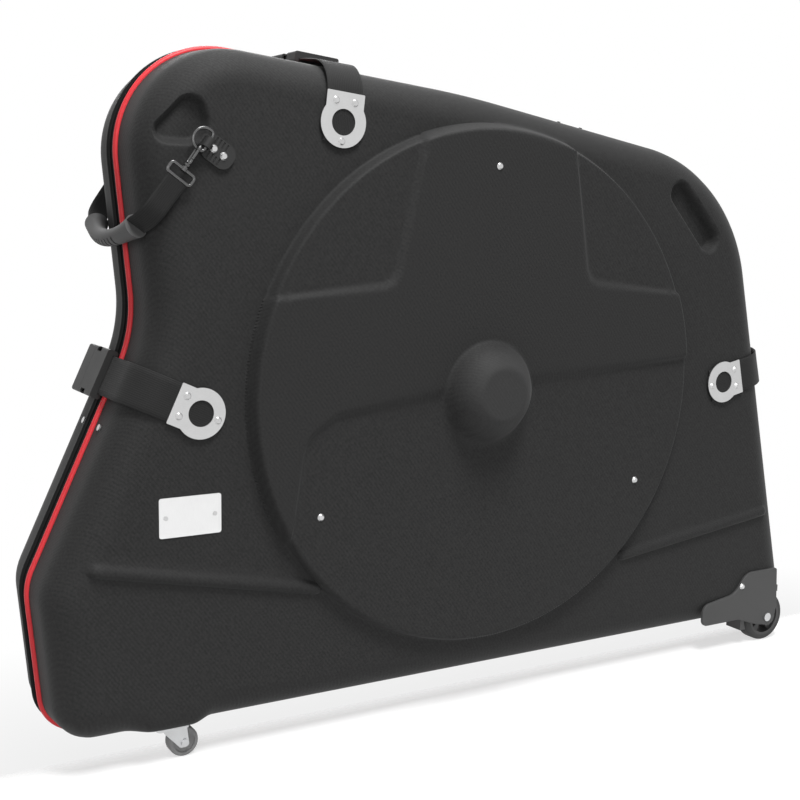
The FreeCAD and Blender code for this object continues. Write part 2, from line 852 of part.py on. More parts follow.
def caster_fork():
    """Pressed fork: a round crown on the pin and two cheeks that trail down to the axle."""
    top, half = fork_levels()
    axle_x, outside = caster_x + caster_trail, half + fork_thick
    crown_end = axle_x - caster_r + crown_reach
    low = top - fork_thick
    disc_part = Part.makeCylinder(fork_head_r, fork_thick, V(caster_x, -caster_y, low))
    y0, y1 = -caster_y - outside, -caster_y + outside
    slab = block(caster_x - fork_head_r, crown_end, y0, y1, low, top)
    web = block(caster_x - cheek_front + fork_thick, crown_end, y0, y1, low, top)
    body = disc_part.common(slab).fuse(web)
    for side in (-1, 1):
        cheek = [
            (caster_x - cheek_front, top, 3.0), (axle_x - cheek_tip, caster_r - cheek_tip, 5.0),
            (axle_x + cheek_tip, caster_r - cheek_tip, 5.0), (axle_x + cheek_tip / 2, top, 2.0),
        ]
        y0, y1 = sorted((-caster_y + side * half, -caster_y + side * outside))
        body = body.fuse(prism(cheek, y0, y1))
        body = body.cut(rod(axle_x, caster_r, y0, y1, caster_axle_r + axle_gap))
    bore = Part.makeCylinder(kingpin_r + axle_gap, fork_thick, V(caster_x, -caster_y, low))
    return body.cut(bore).removeSplitter()


def caster_rod(r, half):
    return rod(caster_x + caster_trail, caster_r, -caster_y - half, -caster_y + half, r)


def caster_wheel():
    half = caster_width / 2
    wheel = caster_rod(caster_r, half)
    dish_r_out, dish_r_in = caster_r - caster_rim, caster_axle_r + caster_hub_wall
    for side in (-1, 1):
        y = -caster_y + side * half
        wheel = rounded_at(wheel, y, caster_round)
        floor_y = y - side * caster_dish
        axle_x = caster_x + caster_trail
        dent = rod(axle_x, caster_r, y, floor_y, dish_r_out).cut(rod(axle_x, caster_r, y, floor_y, dish_r_in))
        wheel = wheel.cut(dent)
    return wheel.cut(caster_rod(caster_axle_r + axle_gap, half))


def caster_axle():
    out = fork_levels()[1] + fork_thick
    pin = caster_rod(caster_axle_r, out)
    nut = caster_rod(caster_nut_r, out + caster_nut_h).cut(caster_rod(caster_nut_r, out))
    return pin.fuse(nut)


# Build of every node
os.makedirs("parts", exist_ok=True)


def save(name, shape):
    shape.exportStep("parts/" + name + ".step")


def save_pair(name, shape):
    """The piece of the near half and its mirror image on the far half."""
    save("near_" + name, shape)
    save("far_" + name, mirrored(shape))


shell = half_form(0).cut(half_form(wall))
straps = {"top": (top_ring, TOP_EDGE), "front": (front_ring, FLARE_EDGE), "rear": (rear_ring, REAR_EDGE)}
rivets = []
plates = []
holes = []
near_straps = {}
far_straps = {}
for name, ((x, z), side) in straps.items():
    ring, angle = edge_foot(x, z, side)
    edge = spot(x, z, angle, ring)
    plate = placed(keyhole_plate(ring), *edge, angle)
    strap, far_strap = placed(strap_near(ring), *edge, angle), placed(strap_far(ring), *edge, angle)
    for along, across in plate_rivet_spots(ring):
        rx, rz = spot(*edge, angle, along, across)
        rivets.append(rivet(rx, rz, plate_y + plate_thick, rivet_seat, rivet_head_r))
        hole = rivet_hole(rx, rz)
        plate, strap, far_strap = plate.cut(hole), strap.cut(hole), far_strap.cut(mirrored(hole))
        holes.append(hole)
    plates.append(plate)
    save(name + "_strap_near", strap)
    save(name + "_strap_far", far_strap)
    save(name + "_buckle_female", placed(buckle_female(), *edge, angle))
    save(name + "_buckle_male", placed(buckle_male(), *edge, angle))
save_pair("strap_plates", Part.makeCompound(plates))

# Inner wheel straps on the three dish rivets
inner_straps = []
for angle in dish_rivet_angles:
    x, z = spot(dish_x, dish_z, angle, dish_rivet_ring_r)
    skin_y = dish_y if angle == 90.0 else panel_y
    start = dish_rivet_ring_r + inner_strap_out
    half = inner_strap_width / 2
    corners = box_corners(start - inner_strap_length, start, -half, half, inner_strap_round)
    seat = skin_y - wall
    strap = placed(prism(corners, -seat, -seat + inner_strap_thick), dish_x, dish_z, angle)
    hole = rivet_hole(x, z)
    inner_straps.append(strap.cut(hole))
    holes.append(hole)
    rivets.append(rivet(x, z, skin_y, seat - inner_strap_thick, dish_rivet_head_r))
save_pair("wheel_straps", Part.makeCompound(inner_straps))

# Handle
tab = handle_tab()
for along in tab_rivet_x:
    tab = tab.cut(rivet_hole(along, 0))
    rx, rz = spot(pivot_x, pivot_z, dring_angle, along)
    holes.append(rivet_hole(rx, rz))
    rivets.append(rivet(rx, rz, half_depth + tab_thick, rivet_seat, tab_rivet_r))
save_pair("handle_tab", placed(tab, pivot_x, pivot_z, dring_angle))
save_pair("d_ring", placed(dring(), pivot_x, pivot_z, dring_angle))
for piece in (snap_hook, hook_gate, strap_eye, handle_strap):
    save_pair(piece.__name__, placed(piece(), pivot_x, pivot_z, handle_angle))
save("handle_grip", placed(grip(), pivot_x, pivot_z, handle_angle))

# Casters and rear wheels
save_pair("caster_plate", caster_plate_piece())
save_pair("caster_fork", caster_fork())
save_pair("caster_wheel", caster_wheel())
save_pair("caster_axle", caster_axle())
half = caster_pad / 2 - wall - housing_gap
seat = caster_pad_z + wall
backing = block(
    caster_x - half, caster_x + half, -caster_y - half, -caster_y + half, seat, seat + backing_thick,
)
for x, y in caster_bolt_spots():
    bolt_hole = Part.makeCylinder(caster_bolt_r + rivet_gap, wall + backing_thick, V(x, y, caster_pad_z))
    backing = backing.cut(bolt_hole)
    holes.append(bolt_hole)
save_pair("rear_hub", rear_hub())
save_pair("rear_tyre", rear_tyre())
housing = rear_housing()
housing_outside = housing_walls()[0]
hole = rivet_hole(*housing_rivet)
holes.append(hole)
rivets.append(rivet(*housing_rivet, housing_outside, rivet_seat, tab_rivet_r))
save_pair("rear_housing", housing.cut(hole))
save_pair("rear_axle", rear_axle())

# Rivet in the front wall, square to the wall
wall_rivet_x = waist_x + (wall_rivet_z - waist_z) * (flare_x - waist_x) / (flare_z - waist_z)
angle = edge_foot(wall_rivet_x, wall_rivet_z, FLARE_EDGE)[1]
draft = draft_in / (half_depth - rim_y)
skin_x = -draft * (wall_rivet_y - wall_rivet_head_r - rim_y)
cap = Part.makeCylinder(wall_rivet_head_r, rivet_head_h, V(skin_x, -wall_rivet_y, 0), ALONG_X)
shank = Part.makeCylinder(rivet_r, wall * 2, V(skin_x - wall * 2, -wall_rivet_y, 0), ALONG_X)
rivets.append(placed(cap.fuse(shank), wall_rivet_x, wall_rivet_z, angle))
drill = Part.makeCylinder(rivet_r + rivet_gap, wall * 6, V(-wall * 3, -wall_rivet_y, 0), ALONG_X)
holes.append(placed(drill, wall_rivet_x, wall_rivet_z, angle))

# Fasteners of each half as one group, then the drilled shells
fasteners = rivets + caster_bolts() + [backing]
screws = []
for side in (-1, 1):
    x = name_x + side * name_screw_span / 2
    face_y = -half_depth - name_thick
    screws.append(rod(x, name_z, face_y - name_screw_h, face_y, name_screw_r))
save("near_fasteners", Part.makeCompound(fasteners + screws))
save("far_fasteners", mirrored(Part.makeCompound(fasteners)))
for hole in holes:
    shell = shell.cut(hole)
save_pair("shell", shell)

# Piping and zip
piping = prism(OUTLINE, -rim_y - piping_width, -rim_y, -piping_height, -piping_height)
piping = rounded_at(rounded_at(piping, -rim_y, piping_round), -rim_y - piping_width, piping_round)
piping = piping.cut(prism(OUTLINE, -rim_y - piping_width, -rim_y))
save_pair("piping", piping)
coil_out, tape_in = tape_inset - coil_height / 2, tape_inset + tape_thick
tape = prism(OUTLINE, -rim_y, -zip_gap, tape_inset, tape_inset)
coil = prism(OUTLINE, -zip_gap - coil_width, -zip_gap, coil_out, coil_out)
zip_half = tape.fuse(coil).cut(prism(OUTLINE, -rim_y, -zip_gap, tape_in, tape_in))
bottom_run = block(zip_front_end_x, zip_rear_end_x, -rim_y, rim_y, 0, bottom_z + front_toe_r)
save_pair("zip_tape", zip_half.cut(bottom_run))
low = bottom_z + tape_inset
strip = block(
    zip_front_end_x + hinge_end_gap, zip_rear_end_x - hinge_end_gap, -rim_y, rim_y, low, low + hinge_thick,
)
save("hinge_strip", strip)

# Zip sliders with their pulls on the rear part of the top edge
top_lift = coil_height / 2 - tape_inset + slider_lift
pin_rise = top_lift + slider_height + pull_eye_r + pull_gap


def slider():
    half, h = slider_length / 2, slider_width / 2
    body = block(top_lift, top_lift + slider_height, -h, h, -half, half)
    body = rounded_along(body, ALONG_X, slider_round)
    near = pull_eye_width / 2 + pull_gap
    for side in (-1, 1):
        y0, y1 = sorted((side * near, side * (near + slider_lug)))
        body = body.fuse(block(top_lift, pin_rise + pull_eye_r, y0, y1, -pull_eye_r, pull_eye_r))
    return body.fuse(rod(pin_rise, 0, -near - slider_lug, near + slider_lug, pull_pin_r))


def pull(length):
    """Flat tab that lies along the zip towards the rear, with an eye round the slider's pin."""
    half_eye, half, thin = pull_eye_width / 2, pull_width / 2, pull_thick / 2
    eye = rod(pin_rise, 0, -half_eye, half_eye, pull_eye_r)
    neck_end = slider_length / 2
    neck = block(pin_rise - thin, pin_rise + thin, -half_eye, half_eye, -neck_end - pull_round, 0)
    tab = block(pin_rise - thin, pin_rise + thin, -half, half, -length, -neck_end)
    tab = rounded_along(tab, ALONG_X, pull_round)
    bore = rod(pin_rise, 0, -half_eye, half_eye, pull_pin_r + axle_gap)
    return eye.fuse([neck, tab]).cut(bore)


for name, x, length in (("front", slider_front_x, pull_length), ("rear", slider_rear_x, rear_pull_length)):
    a, b = TOP_REAR_EDGE
    z = a[1] + (b[1] - a[1]) * (x - a[0]) / (b[0] - a[0])
    angle = edge_foot(x, z, TOP_REAR_EDGE)[1]
    save("zip_slider_" + name, placed(slider(), x, z, angle))
    save("zip_pull_" + name, placed(pull(length), x, z, angle))

# Name plate
half, h = name_length / 2, name_height / 2
corners = box_corners(name_x - half, name_x + half, name_z - h, name_z + h, name_round)
save("name_plate", prism(corners, -half_depth - name_thick, -half_depth))
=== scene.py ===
# %% [markdown]
# # A moulded bike travel case
# The packed solids are loaded first and stay where they are. Everything made below is in metres, in the
# same frame, so a piece is placed by the sizes of the case itself: X runs along it, Y through its
# thickness, Z up, with the zip in the plane Y = 0 and the near half at negative Y.

import math

import bmesh
import bpy
import numpy as np
from mathutils import Matrix, Vector, geometry


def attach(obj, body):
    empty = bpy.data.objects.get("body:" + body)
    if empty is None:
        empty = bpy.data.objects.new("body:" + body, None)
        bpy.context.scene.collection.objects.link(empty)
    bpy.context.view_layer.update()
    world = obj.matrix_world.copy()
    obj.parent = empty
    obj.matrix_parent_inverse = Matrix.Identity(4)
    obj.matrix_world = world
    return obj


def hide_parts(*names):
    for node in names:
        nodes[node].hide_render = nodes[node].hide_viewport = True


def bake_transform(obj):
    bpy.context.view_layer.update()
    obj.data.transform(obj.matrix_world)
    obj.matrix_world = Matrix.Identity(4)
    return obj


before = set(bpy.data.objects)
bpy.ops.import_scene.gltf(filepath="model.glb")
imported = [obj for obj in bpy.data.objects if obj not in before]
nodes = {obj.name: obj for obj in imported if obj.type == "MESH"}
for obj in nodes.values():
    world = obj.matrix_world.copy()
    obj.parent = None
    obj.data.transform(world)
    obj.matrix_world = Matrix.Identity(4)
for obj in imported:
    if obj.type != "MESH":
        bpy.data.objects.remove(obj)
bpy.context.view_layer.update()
MM = 0.001
HALVES = {"near": -1, "far": 1}

# %% [markdown]
# ## Camera
# The photograph looks at the case from its front left, a little above the middle. The place and the lens
# were worked out from the case's own corners, so the camera is given by azimuth, elevation and roll.

# %% Camera
CAMERA_PLACE = Vector((-936, -1464, 653)) * MM
AZIMUTH, ELEVATION, ROLL = (math.radians(a) for a in (-30.394, 8.412, 0.829))
FOCAL_PX, IMAGE_PX, SENSOR = 1285.8, 800, 36.0


def camera_turn():
    """Rotation of a camera that looks back along the given azimuth and elevation."""
    side = Vector((math.cos(AZIMUTH), math.sin(AZIMUTH), 0))
    level = Vector((math.sin(AZIMUTH), -math.cos(AZIMUTH), 0))
    back = level * math.cos(ELEVATION) + Vector((0, 0, math.sin(ELEVATION)))
    over = back.cross(side)
    right = side * math.cos(ROLL) + over * math.sin(ROLL)
    up = over * math.cos(ROLL) - side * math.sin(ROLL)
    return Matrix([(right[i], up[i], back[i]) for i in range(3)]).to_4x4()


lens = bpy.data.cameras.new("camera")
lens.sensor_width = SENSOR
lens.lens = FOCAL_PX / IMAGE_PX * SENSOR
camera = bpy.data.objects.new("camera", lens)
camera.matrix_world = camera_turn()
camera.location = CAMERA_PLACE
bpy.context.scene.collection.objects.link(camera)
bpy.context.scene.camera = camera
print("lens %.1f mm" % lens.lens)

# %% [markdown]
# ## Light and floor
# A product picture has broad soft light and a white ground. Five large area lamps give the dark skin its
# long soft highlights: three from the front, one above and one behind, so that every side can be seen.

# %% Lamps
scene = bpy.context.scene
scene.view_settings.view_transform = "Standard"


def lamp(name, place, target, size, power):
    """A square area lamp at a place, turned to face a target."""
    data = bpy.data.lights.new(name, "AREA")
    data.size = size
    data.energy = power
    obj = bpy.data.objects.new(name, data)
    obj.location = place
    obj.rotation_euler = (Vector(target) - Vector(place)).to_track_quat("-Z", "Y").to_euler()
    scene.collection.objects.link(obj)


MIDDLE = (0, 0, 0.42)
LAMPS = {
    "key": ((-0.2, -1.3, 3.1), 0.9, 66),
    "fill": ((0.6, -3.6, 1.6), 2.2, 2),
    "side": ((-2.1, -3.0, 1.3), 1.6, 26),
    "top": ((0.2, 0.3, 3.0), 1.6, 24),
    "back": ((0.9, 3.2, 2.0), 2.0, 58),
}
for name, (place, size, power) in LAMPS.items():
    lamp(name, place, MIDDLE, size, power)
print("lamps:", ", ".join(LAMPS))

# %% [markdown]
# ## Writing finishes as arithmetic
# A finish is a small graph of nodes. Two helpers keep it readable: `Value` wraps one output socket, so that
# `1 - mask` or `grain * 0.2` adds the Math node by itself, and `Graph.node` makes any other node from its
# type, its settings and what goes into its sockets.

# %% Value
def math_operator(operation):
    """An operator between a value and something else, and its form for when the other comes first."""
    def forward(value, other):
        return value.math(operation, value, other)

    def reflected(value, other):
        return value.math(operation, other, value)

    return forward, reflected


class Value:
    """One output socket; arithmetic on it adds Math nodes."""

    __add__, __radd__ = math_operator("ADD")
    __sub__, __rsub__ = math_operator("SUBTRACT")
    __mul__, __rmul__ = math_operator("MULTIPLY")
    __truediv__, __rtruediv__ = math_operator("DIVIDE")
    __pow__, __rpow__ = math_operator("POWER")

    def __init__(self, graph, socket):
        self.graph, self.socket = graph, socket

    def math(self, operation, *values):
        return self.graph.node("ShaderNodeMath", {"operation": operation}, dict(enumerate(values)))

    def beside(self, output):
        """Another output of the same node."""
        return Value(self.graph, self.socket.node.outputs[output])

    def __abs__(self):
        return self.math("ABSOLUTE", self)

    def at_least(self, other):
        """The larger of this value and another."""
        return self.math("MAXIMUM", self, other)

    def wave(self):
        """A sine of this phase, from 0 to 1."""
        return self.math("SINE", self) * 0.5 + 0.5


print("operators on a value: + - * / ** abs")

# %% Graph and Finish
class Graph:
    """The nodes of a material or a world, and the shader that they feed."""

    def __init__(self, tree, shader):
        self.tree, self.shader = tree, tree.nodes[shader]

    def node(self, kind, settings=None, sockets=None, out=0):
        made = self.tree.nodes.new(kind)
        for key, value in (settings or {}).items():
            setattr(made, key, value)
        self.plug(made, sockets or {})
        return Value(self, made.outputs[out])

    def plug(self, made, sockets):
        for key, value in sockets.items():
            if isinstance(value, Value):
                self.tree.links.new(value.socket, made.inputs[key])
            else:
                made.inputs[key].default_value = value

    def feed(self, sockets):
        self.plug(self.shader, sockets)
        return self

    def place(self, kind="Object"):
        return self.node("ShaderNodeTexCoord", None, None, kind)

    def axis(self, name):
        """One coordinate of the object, in metres."""
        return self.node("ShaderNodeSeparateXYZ", None, {"Vector": self.place()}, name)

    def noise(self, scale, detail, where=None):
        return self.node("ShaderNodeTexNoise", None, {
            "Vector": where or self.place(), "Scale": scale, "Detail": detail}, "Fac")

    def ramp(self, value, start, end, low=0.0, high=1.0):
        """Goes from low to high while a value goes from start to end, and stays there."""
        return self.node("ShaderNodeMapRange", None, {
            "Value": value, "From Min": start, "From Max": end, "To Min": low, "To Max": high})

    def mix(self, factor, a, b):
        """Colour between a and b."""
        return self.node("ShaderNodeMix", {"data_type": "RGBA"}, {0: factor, 6: a, 7: b}, 2)

    def bump(self, height, strength, distance):
        normal = self.node("ShaderNodeBump", None, {
            "Height": height, "Strength": strength, "Distance": distance})
        return self.feed({"Normal": normal})


class Finish(Graph):
    """A material under construction, with a Principled shader."""

    def __init__(self, name, **constants):
        self.material = bpy.data.materials.new(name)
        self.material.use_nodes = True
        super().__init__(self.material.node_tree, "Principled BSDF")
        self.feed({key.replace("_", " "): value for key, value in constants.items()})


print("steps of a finish:", ", ".join(name for name in vars(Graph) if not name.startswith("_")))

# %% Grey and paint
def grey(level):
    return (level, level, level, 1.0)


def paint(finish, *names):
    """Gives a finish to CAD nodes by name, or to objects."""
    for name in names:
        data = (nodes[name] if isinstance(name, str) else name).data
        data.materials.clear()
        data.materials.append(finish.material)


print("greys go from", grey(0)[:3], "to", grey(1)[:3])

# %% [markdown]
# The floor and the world are white to the camera and to mirrors, and light the case at a plain level. The
# far half swings below the floor when the case opens, so the floor is real in front of the case only: behind
# it, it is see-through, with a soft painted shade where the case stands.

# %% Floor
FLOOR = 9.0
floor_mesh = bpy.data.meshes.new("floor")
floor_corners = [(-FLOOR, -FLOOR, 0), (FLOOR, -FLOOR, 0), (FLOOR, FLOOR, 0), (-FLOOR, FLOOR, 0)]
floor_mesh.from_pydata(floor_corners, [], [(0, 1, 2, 3)])
floor = bpy.data.objects.new("floor", floor_mesh)
scene.collection.objects.link(floor)
FADE_NEAR, FADE_FAR = 0.7, 1.7
REAR_START, REAR_END, FOOT_HALF, SHADE, SHADE_REACH = -0.05, -0.02, 0.5, 0.16, 0.45
FLOOR_LIT, FLOOR_GLOW = 0.62, 0.62


def seen_as_background(graph):
    """1 for the rays that show a background: camera, mirror and glass."""
    seen = graph.node("ShaderNodeLightPath", None, None, "Is Camera Ray")
    for other in [seen.beside(ray) for ray in ("Is Glossy Ray", "Is Transmission Ray")]:
        seen = seen.at_least(other)
    return seen


ground = Finish("ground", Roughness=0.95, Specular_IOR_Level=0.0, Emission_Strength=1.0)
reach = ground.node("ShaderNodeVectorMath", {"operation": "LENGTH"}, {0: ground.place()}, "Value")
fade = ground.ramp(reach, FADE_NEAR, FADE_FAR)
along, across = ground.axis("X"), ground.axis("Y")
rear = ground.ramp(across, REAR_START, REAR_END)
past_ends = (abs(along) - FOOT_HALF).at_least(0.0)
past_back = (across - REAR_START).at_least(0.0)
gap = (past_ends * past_ends + past_back * past_back) ** 0.5
shade = ground.ramp(gap, 0.0, SHADE_REACH, SHADE, 0.0)
cover = 1 - rear * (1 - shade)
real = (1 - rear) / cover
glow = seen_as_background(ground) * (fade * (1 - FLOOR_GLOW) + FLOOR_GLOW) * real
ground.feed({
    "Base Color": ground.mix((1 - fade) * real, grey(0.0), grey(FLOOR_LIT)),
    "Emission Color": ground.mix(glow, grey(0.0), grey(1.0)),
    "Alpha": cover,
})
floor_mesh.materials.append(ground.material)
print("floor:", 2 * FLOOR, "m wide")

# %% World
AMBIENT = 0.13
world = bpy.data.worlds.new("studio")
world.use_nodes = True
sky = Graph(world.node_tree, "Background")
sky.feed({"Color": grey(1.0), "Strength": seen_as_background(sky) * (1 - AMBIENT) + AMBIENT})
scene.world = world
print("ambient light:", AMBIENT)

# %% [markdown]
# ## The half shells
# Each half is foam board with a woven skin, pressed hot in a mould, so every crease is soft. A CAD fillet
# can't follow creases that fade out, so the skin is made here as a height map over the case's outline: the
# height is a sum of smooth steps, one for each form, and the mesh has rows of points along every crease.

# %% Outline of the zip edge
OUTLINE = (
    (-563, 37, 48), (591, 37, 55), (440, 719, 230), (-22, 802, 1500), (-478, 851, 121), (-445, 511, 170),
    (-580, 219, 70),
)
CHUNK = 2000


def filled(path, goal, step):
    """Adds points to a path, about one step apart, up to but not including the goal."""
    if path:
        run = goal - path[-1]
        parts = max(1, round(run.length / step))
        path += [path[-1] + run * (k / parts) for k in range(1, parts)]


def rounded(corners, step, closed=True):
    """Points along a polygon (x, z, radius) with rounded corners, about one step apart."""
    count, path = len(corners), []
    for i, (x, z, radius) in enumerate(corners):
        corner = Vector((x, z))
        if not closed and i in (0, count - 1):
            filled(path, corner, step)
            path.append(corner)
            continue
        into = (corner - Vector(corners[i - 1][:2])).normalized()
        out = (Vector(corners[(i + 1) % count][:2]) - corner).normalized()
        turn = -into.angle_signed(out)
        start = corner - into * radius * math.tan(abs(turn) / 2)
        filled(path, start, step)
        centre = start + Vector((-into.y, into.x)) * math.copysign(radius, turn)
        parts = max(2, round(radius * abs(turn) / step))
        path += [centre + Matrix.Rotation(turn * k / parts, 2) @ (start - centre) for k in range(parts + 1)]
    if closed:
        filled(path, path[0], step)
    return np.array([tuple(p) for p in path])


def distance_inside(points, path):
    """Distance from each point to a closed path: positive inside it."""
    a, b = path, np.roll(path, -1, 0)
    d = b - a
    result = np.empty(len(points))
    for start in range(0, len(points), CHUNK):
        p = points[start:start + CHUNK, None, :]
        t = np.clip(((p - a) * d).sum(2) / (d * d).sum(1), 0, 1)
        gap = np.sqrt(((p - a - d * t[..., None]) ** 2).sum(2)).min(1)
        px, pz = p[..., 0], p[..., 1]
        cross = (a[:, 1] > pz) != (b[:, 1] > pz)
        where = a[:, 0] + (pz - a[:, 1]) * d[:, 0] / np.where(d[:, 1] == 0, 1e-9, d[:, 1])
        odd = (cross & (px < where)).sum(1) % 2 == 1
        result[start:start + CHUNK] = np.where(odd, gap, -gap)
    return result


EDGE_STEP = 6.0
edge_path = rounded(OUTLINE, EDGE_STEP)
print("zip edge:", len(edge_path), "points")

# %% [markdown]
# The forms of the face, one function each: the wheel dish with its raised web and hub boss, two ribs, the
# hand-hold slot and the corner pocket. `soft_step` is the crease: it rises from 0 to 1 without a corner.

# %% Soft creases
def soft_step(low, high, value):
    t = np.clip((value - low) / (high - low), 0, 1)
    return t * t * (3 - 2 * t)


def soft_least(a, b, blend):
    """The smaller of a and b, with the corner between them rounded over a height of blend."""
    h = np.clip(0.5 + 0.5 * (b - a) / blend, 0, 1)
    return b + (a - b) * h - blend * h * (1 - h)


print("a crease at a quarter of its width:", soft_step(0, 4, 1))

# %% Dish, web and hub boss
DISH, BOSS = np.array((-2.0, 425.0)), np.array((-10.0, 424.0))
DISH_R, PANEL_RISE, WEB_RISE, DISH_SLOPE = 330.0, 14.0, 6.0, 0.40
DISH_ROUND, FOOT_ROUND, BOSS_ROUND = 4.0, 1.5, 2.5
WEB_CREASE, WEB_CREASE_GAIN, WEB_STEP = 3.0, 11.0, 12.0
BOSS_FOOT_R, BOSS_TOP_R, BOSS_RISE, BOSS_BELLY = 65.0, 34.0, 56.0, 5.0
WEB_LEVEL = PANEL_RISE + WEB_RISE
WEB = (
    (-370, -330, 4), (-292, -200, 30), (-268, -45, 40), (-225, -18, 40), (-68, 0, 60), (370, 31, 4),
    (370, 112, 4), (150, 136, 22), (112, 370, 4), (-94, 370, 4), (-147, 138, 22), (-370, 119, 4),
)


def dish_height(points):
    d = points - DISH
    r = np.hypot(d[:, 0], d[:, 1])
    crease = WEB_CREASE + WEB_CREASE_GAIN * np.clip(1 - r / DISH_R, 0, 1)
    web = soft_step(-crease, crease, distance_inside(d, rounded(WEB, WEB_STEP)))
    level = PANEL_RISE + WEB_RISE * web
    side = (DISH_R + DISH_SLOPE * level - r) / DISH_SLOPE
    plain = -soft_least(-soft_least(side, level, DISH_ROUND), np.zeros(len(r)), FOOT_ROUND)
    climb = (BOSS_FOOT_R - np.hypot(*(points - BOSS).T)) / (BOSS_FOOT_R - BOSS_TOP_R)
    belly = BOSS_BELLY * np.sin(np.pi * np.clip(climb, 0, 1))
    boss = soft_least(WEB_LEVEL + (BOSS_RISE - WEB_LEVEL) * climb + belly, BOSS_RISE, BOSS_ROUND)
    return -soft_least(-plain, -boss, BOSS_ROUND)


print("web at", WEB_LEVEL, "mm and boss at", BOSS_RISE, "mm over the face")

# %% Ribs, slot and pocket
RIBS = (((-521, -177), (-246, -234)), ((240, -253), (512, -218)))
RIB_WIDTH, RIB_RISE, RIB_FULLNESS = 8.0, 7.0, 0.7
SLOT, SLOT_LENGTH, SLOT_WIDTH, SLOT_SLOPE, SLOT_DEPTH = np.array((348.0, 649.0)), 114.0, 30.0, -48.0, 17.0
SLOT_CREASE = (-5.0, 5.0)
POCKET, POCKET_DEPTH, POCKET_CREASE = np.array((-412.0, 745.0)), 12.5, (-4.5, 6.0)
POCKET_CORNERS, POCKET_STEP = ((-45, -20, 12), (38, -23, 24), (14, 43, 16)), 2.0


def rib_height(points):
    d, high = points - DISH, np.zeros(len(points))
    for start, end in RIBS:
        a, run = np.array(start, float), np.array(end, float) - np.array(start, float)
        t = np.clip(((d - a) @ run) / (run @ run), 0, 1)
        gap = np.hypot(*(d - a - np.outer(t, run)).T)
        high = np.maximum(high, RIB_RISE * np.clip(1 - (gap / RIB_WIDTH) ** 2, 0, 1) ** RIB_FULLNESS)
    return high


def turned(points, centre, slope):
    """Points in the frame of a form that lies at a slope."""
    c, s = math.cos(math.radians(slope)), math.sin(math.radians(slope))
    d = points - centre
    return np.column_stack((d[:, 0] * c + d[:, 1] * s, d[:, 1] * c - d[:, 0] * s))


def slot_edge(points):
    """Distance inside the rim of the hand-hold slot."""
    uv = turned(points, SLOT, SLOT_SLOPE)
    r = SLOT_WIDTH / 2
    return r - np.hypot(np.maximum(np.abs(uv[:, 0]) - SLOT_LENGTH / 2 + r, 0), uv[:, 1])


def pocket_edge(points):
    """Distance inside the rim of the corner pocket, a rounded triangle."""
    return distance_inside(points - POCKET, rounded(POCKET_CORNERS, POCKET_STEP))


print("ribs:", len(RIBS), "of", RIB_RISE, "mm; slot", SLOT_DEPTH, "mm and pocket", POCKET_DEPTH, "mm deep")

# %% Height of the whole face
RIM_Y, FACE_Y, WALL, DRAFT, EDGE_R = 8.0, 92.0, 5.0, 5.0 / 84.0, 45.0
DEEP_INSIDE = np.array([300.0])


def edge_height(inset):
    """Height of the plain half, from the rim, at a distance inside the zip edge."""
    start = DRAFT * (FACE_Y - EDGE_R - RIM_Y)
    fall = np.clip(EDGE_R - (inset - start), 0, EDGE_R)
    return FACE_Y - EDGE_R + np.sqrt(EDGE_R ** 2 - fall ** 2)


def face_height(points, inset):
    """Height of the outer skin over the parting plane."""
    form = np.maximum(dish_height(points), rib_height(points))
    sunk = SLOT_DEPTH * soft_step(*SLOT_CREASE, slot_edge(points))
    sunk = np.maximum(sunk, POCKET_DEPTH * soft_step(*POCKET_CREASE, pocket_edge(points)))
    return edge_height(inset) + form - sunk


print("boss top at", round(float(face_height(BOSS[None, :], DEEP_INSIDE)[0]), 1), "mm")

# %% [markdown]
# The mesh: rings of points climb the side wall and the rounded edge, and inside the last ring the face is a
# Delaunay net. Rows of points that follow the creases go in first, then a plain grid fills what is left.

# %% Rows along the creases
GRID, ROW_GAP, SLOT_ROW_GAP, POCKET_ROW_GAP, CLEAR = 10.0, 4.0, 3.0, 2.5, 16.0
DISH_ROWS = (322, 326, 328, 329.7, 331.4, 333.2, 335, 336.7, 338.4, 340.2, 343, 348)
BOSS_ROWS = (71, 68, 66, 64, 61.5, 58, 54, 50, 46, 42, 38.5, 36, 34, 32, 29, 22, 14, 7)
SLOT_ROWS, SLOT_END_FLAT = (-8, -5.6, -4, -2.4, -0.8, 0.8, 2.4, 4, 5.6, 8), 0.2
POCKET_ROWS = (-8, -5.5, -3.5, -1.8, 0, 1.8, 3.6, 5.5, 8)
WEB_ROWS = (-9, -6, -3.5, -1.2, 1.2, 3.5, 6, 9)
RIB_ROWS, RIB_RUN_OUT = (-11, -8.2, -7, -5, -2.5, 0, 2.5, 5, 7, 8.2, 11), 10


def edge_normals(path):
    along = np.roll(path, -1, 0) - np.roll(path, 1, 0)
    along /= np.linalg.norm(along, axis=1)[:, None]
    return np.column_stack((-along[:, 1], along[:, 0]))


def shrunk(path, distance):
    return path + edge_normals(path) * distance


def slot_rows():
    c, s = math.cos(math.radians(SLOT_SLOPE)), math.sin(math.radians(SLOT_SLOPE))
    r, half = SLOT_WIDTH / 2, SLOT_LENGTH / 2
    corners = [(x, z, r - SLOT_END_FLAT) for x, z in ((-half, -r), (half, -r), (half, r), (-half, r))]
    rows = [shrunk(rounded(corners, SLOT_ROW_GAP), offset) for offset in SLOT_ROWS]
    return [SLOT + np.column_stack((x * c - z * s, x * s + z * c)) for x, z in (row.T for row in rows)]


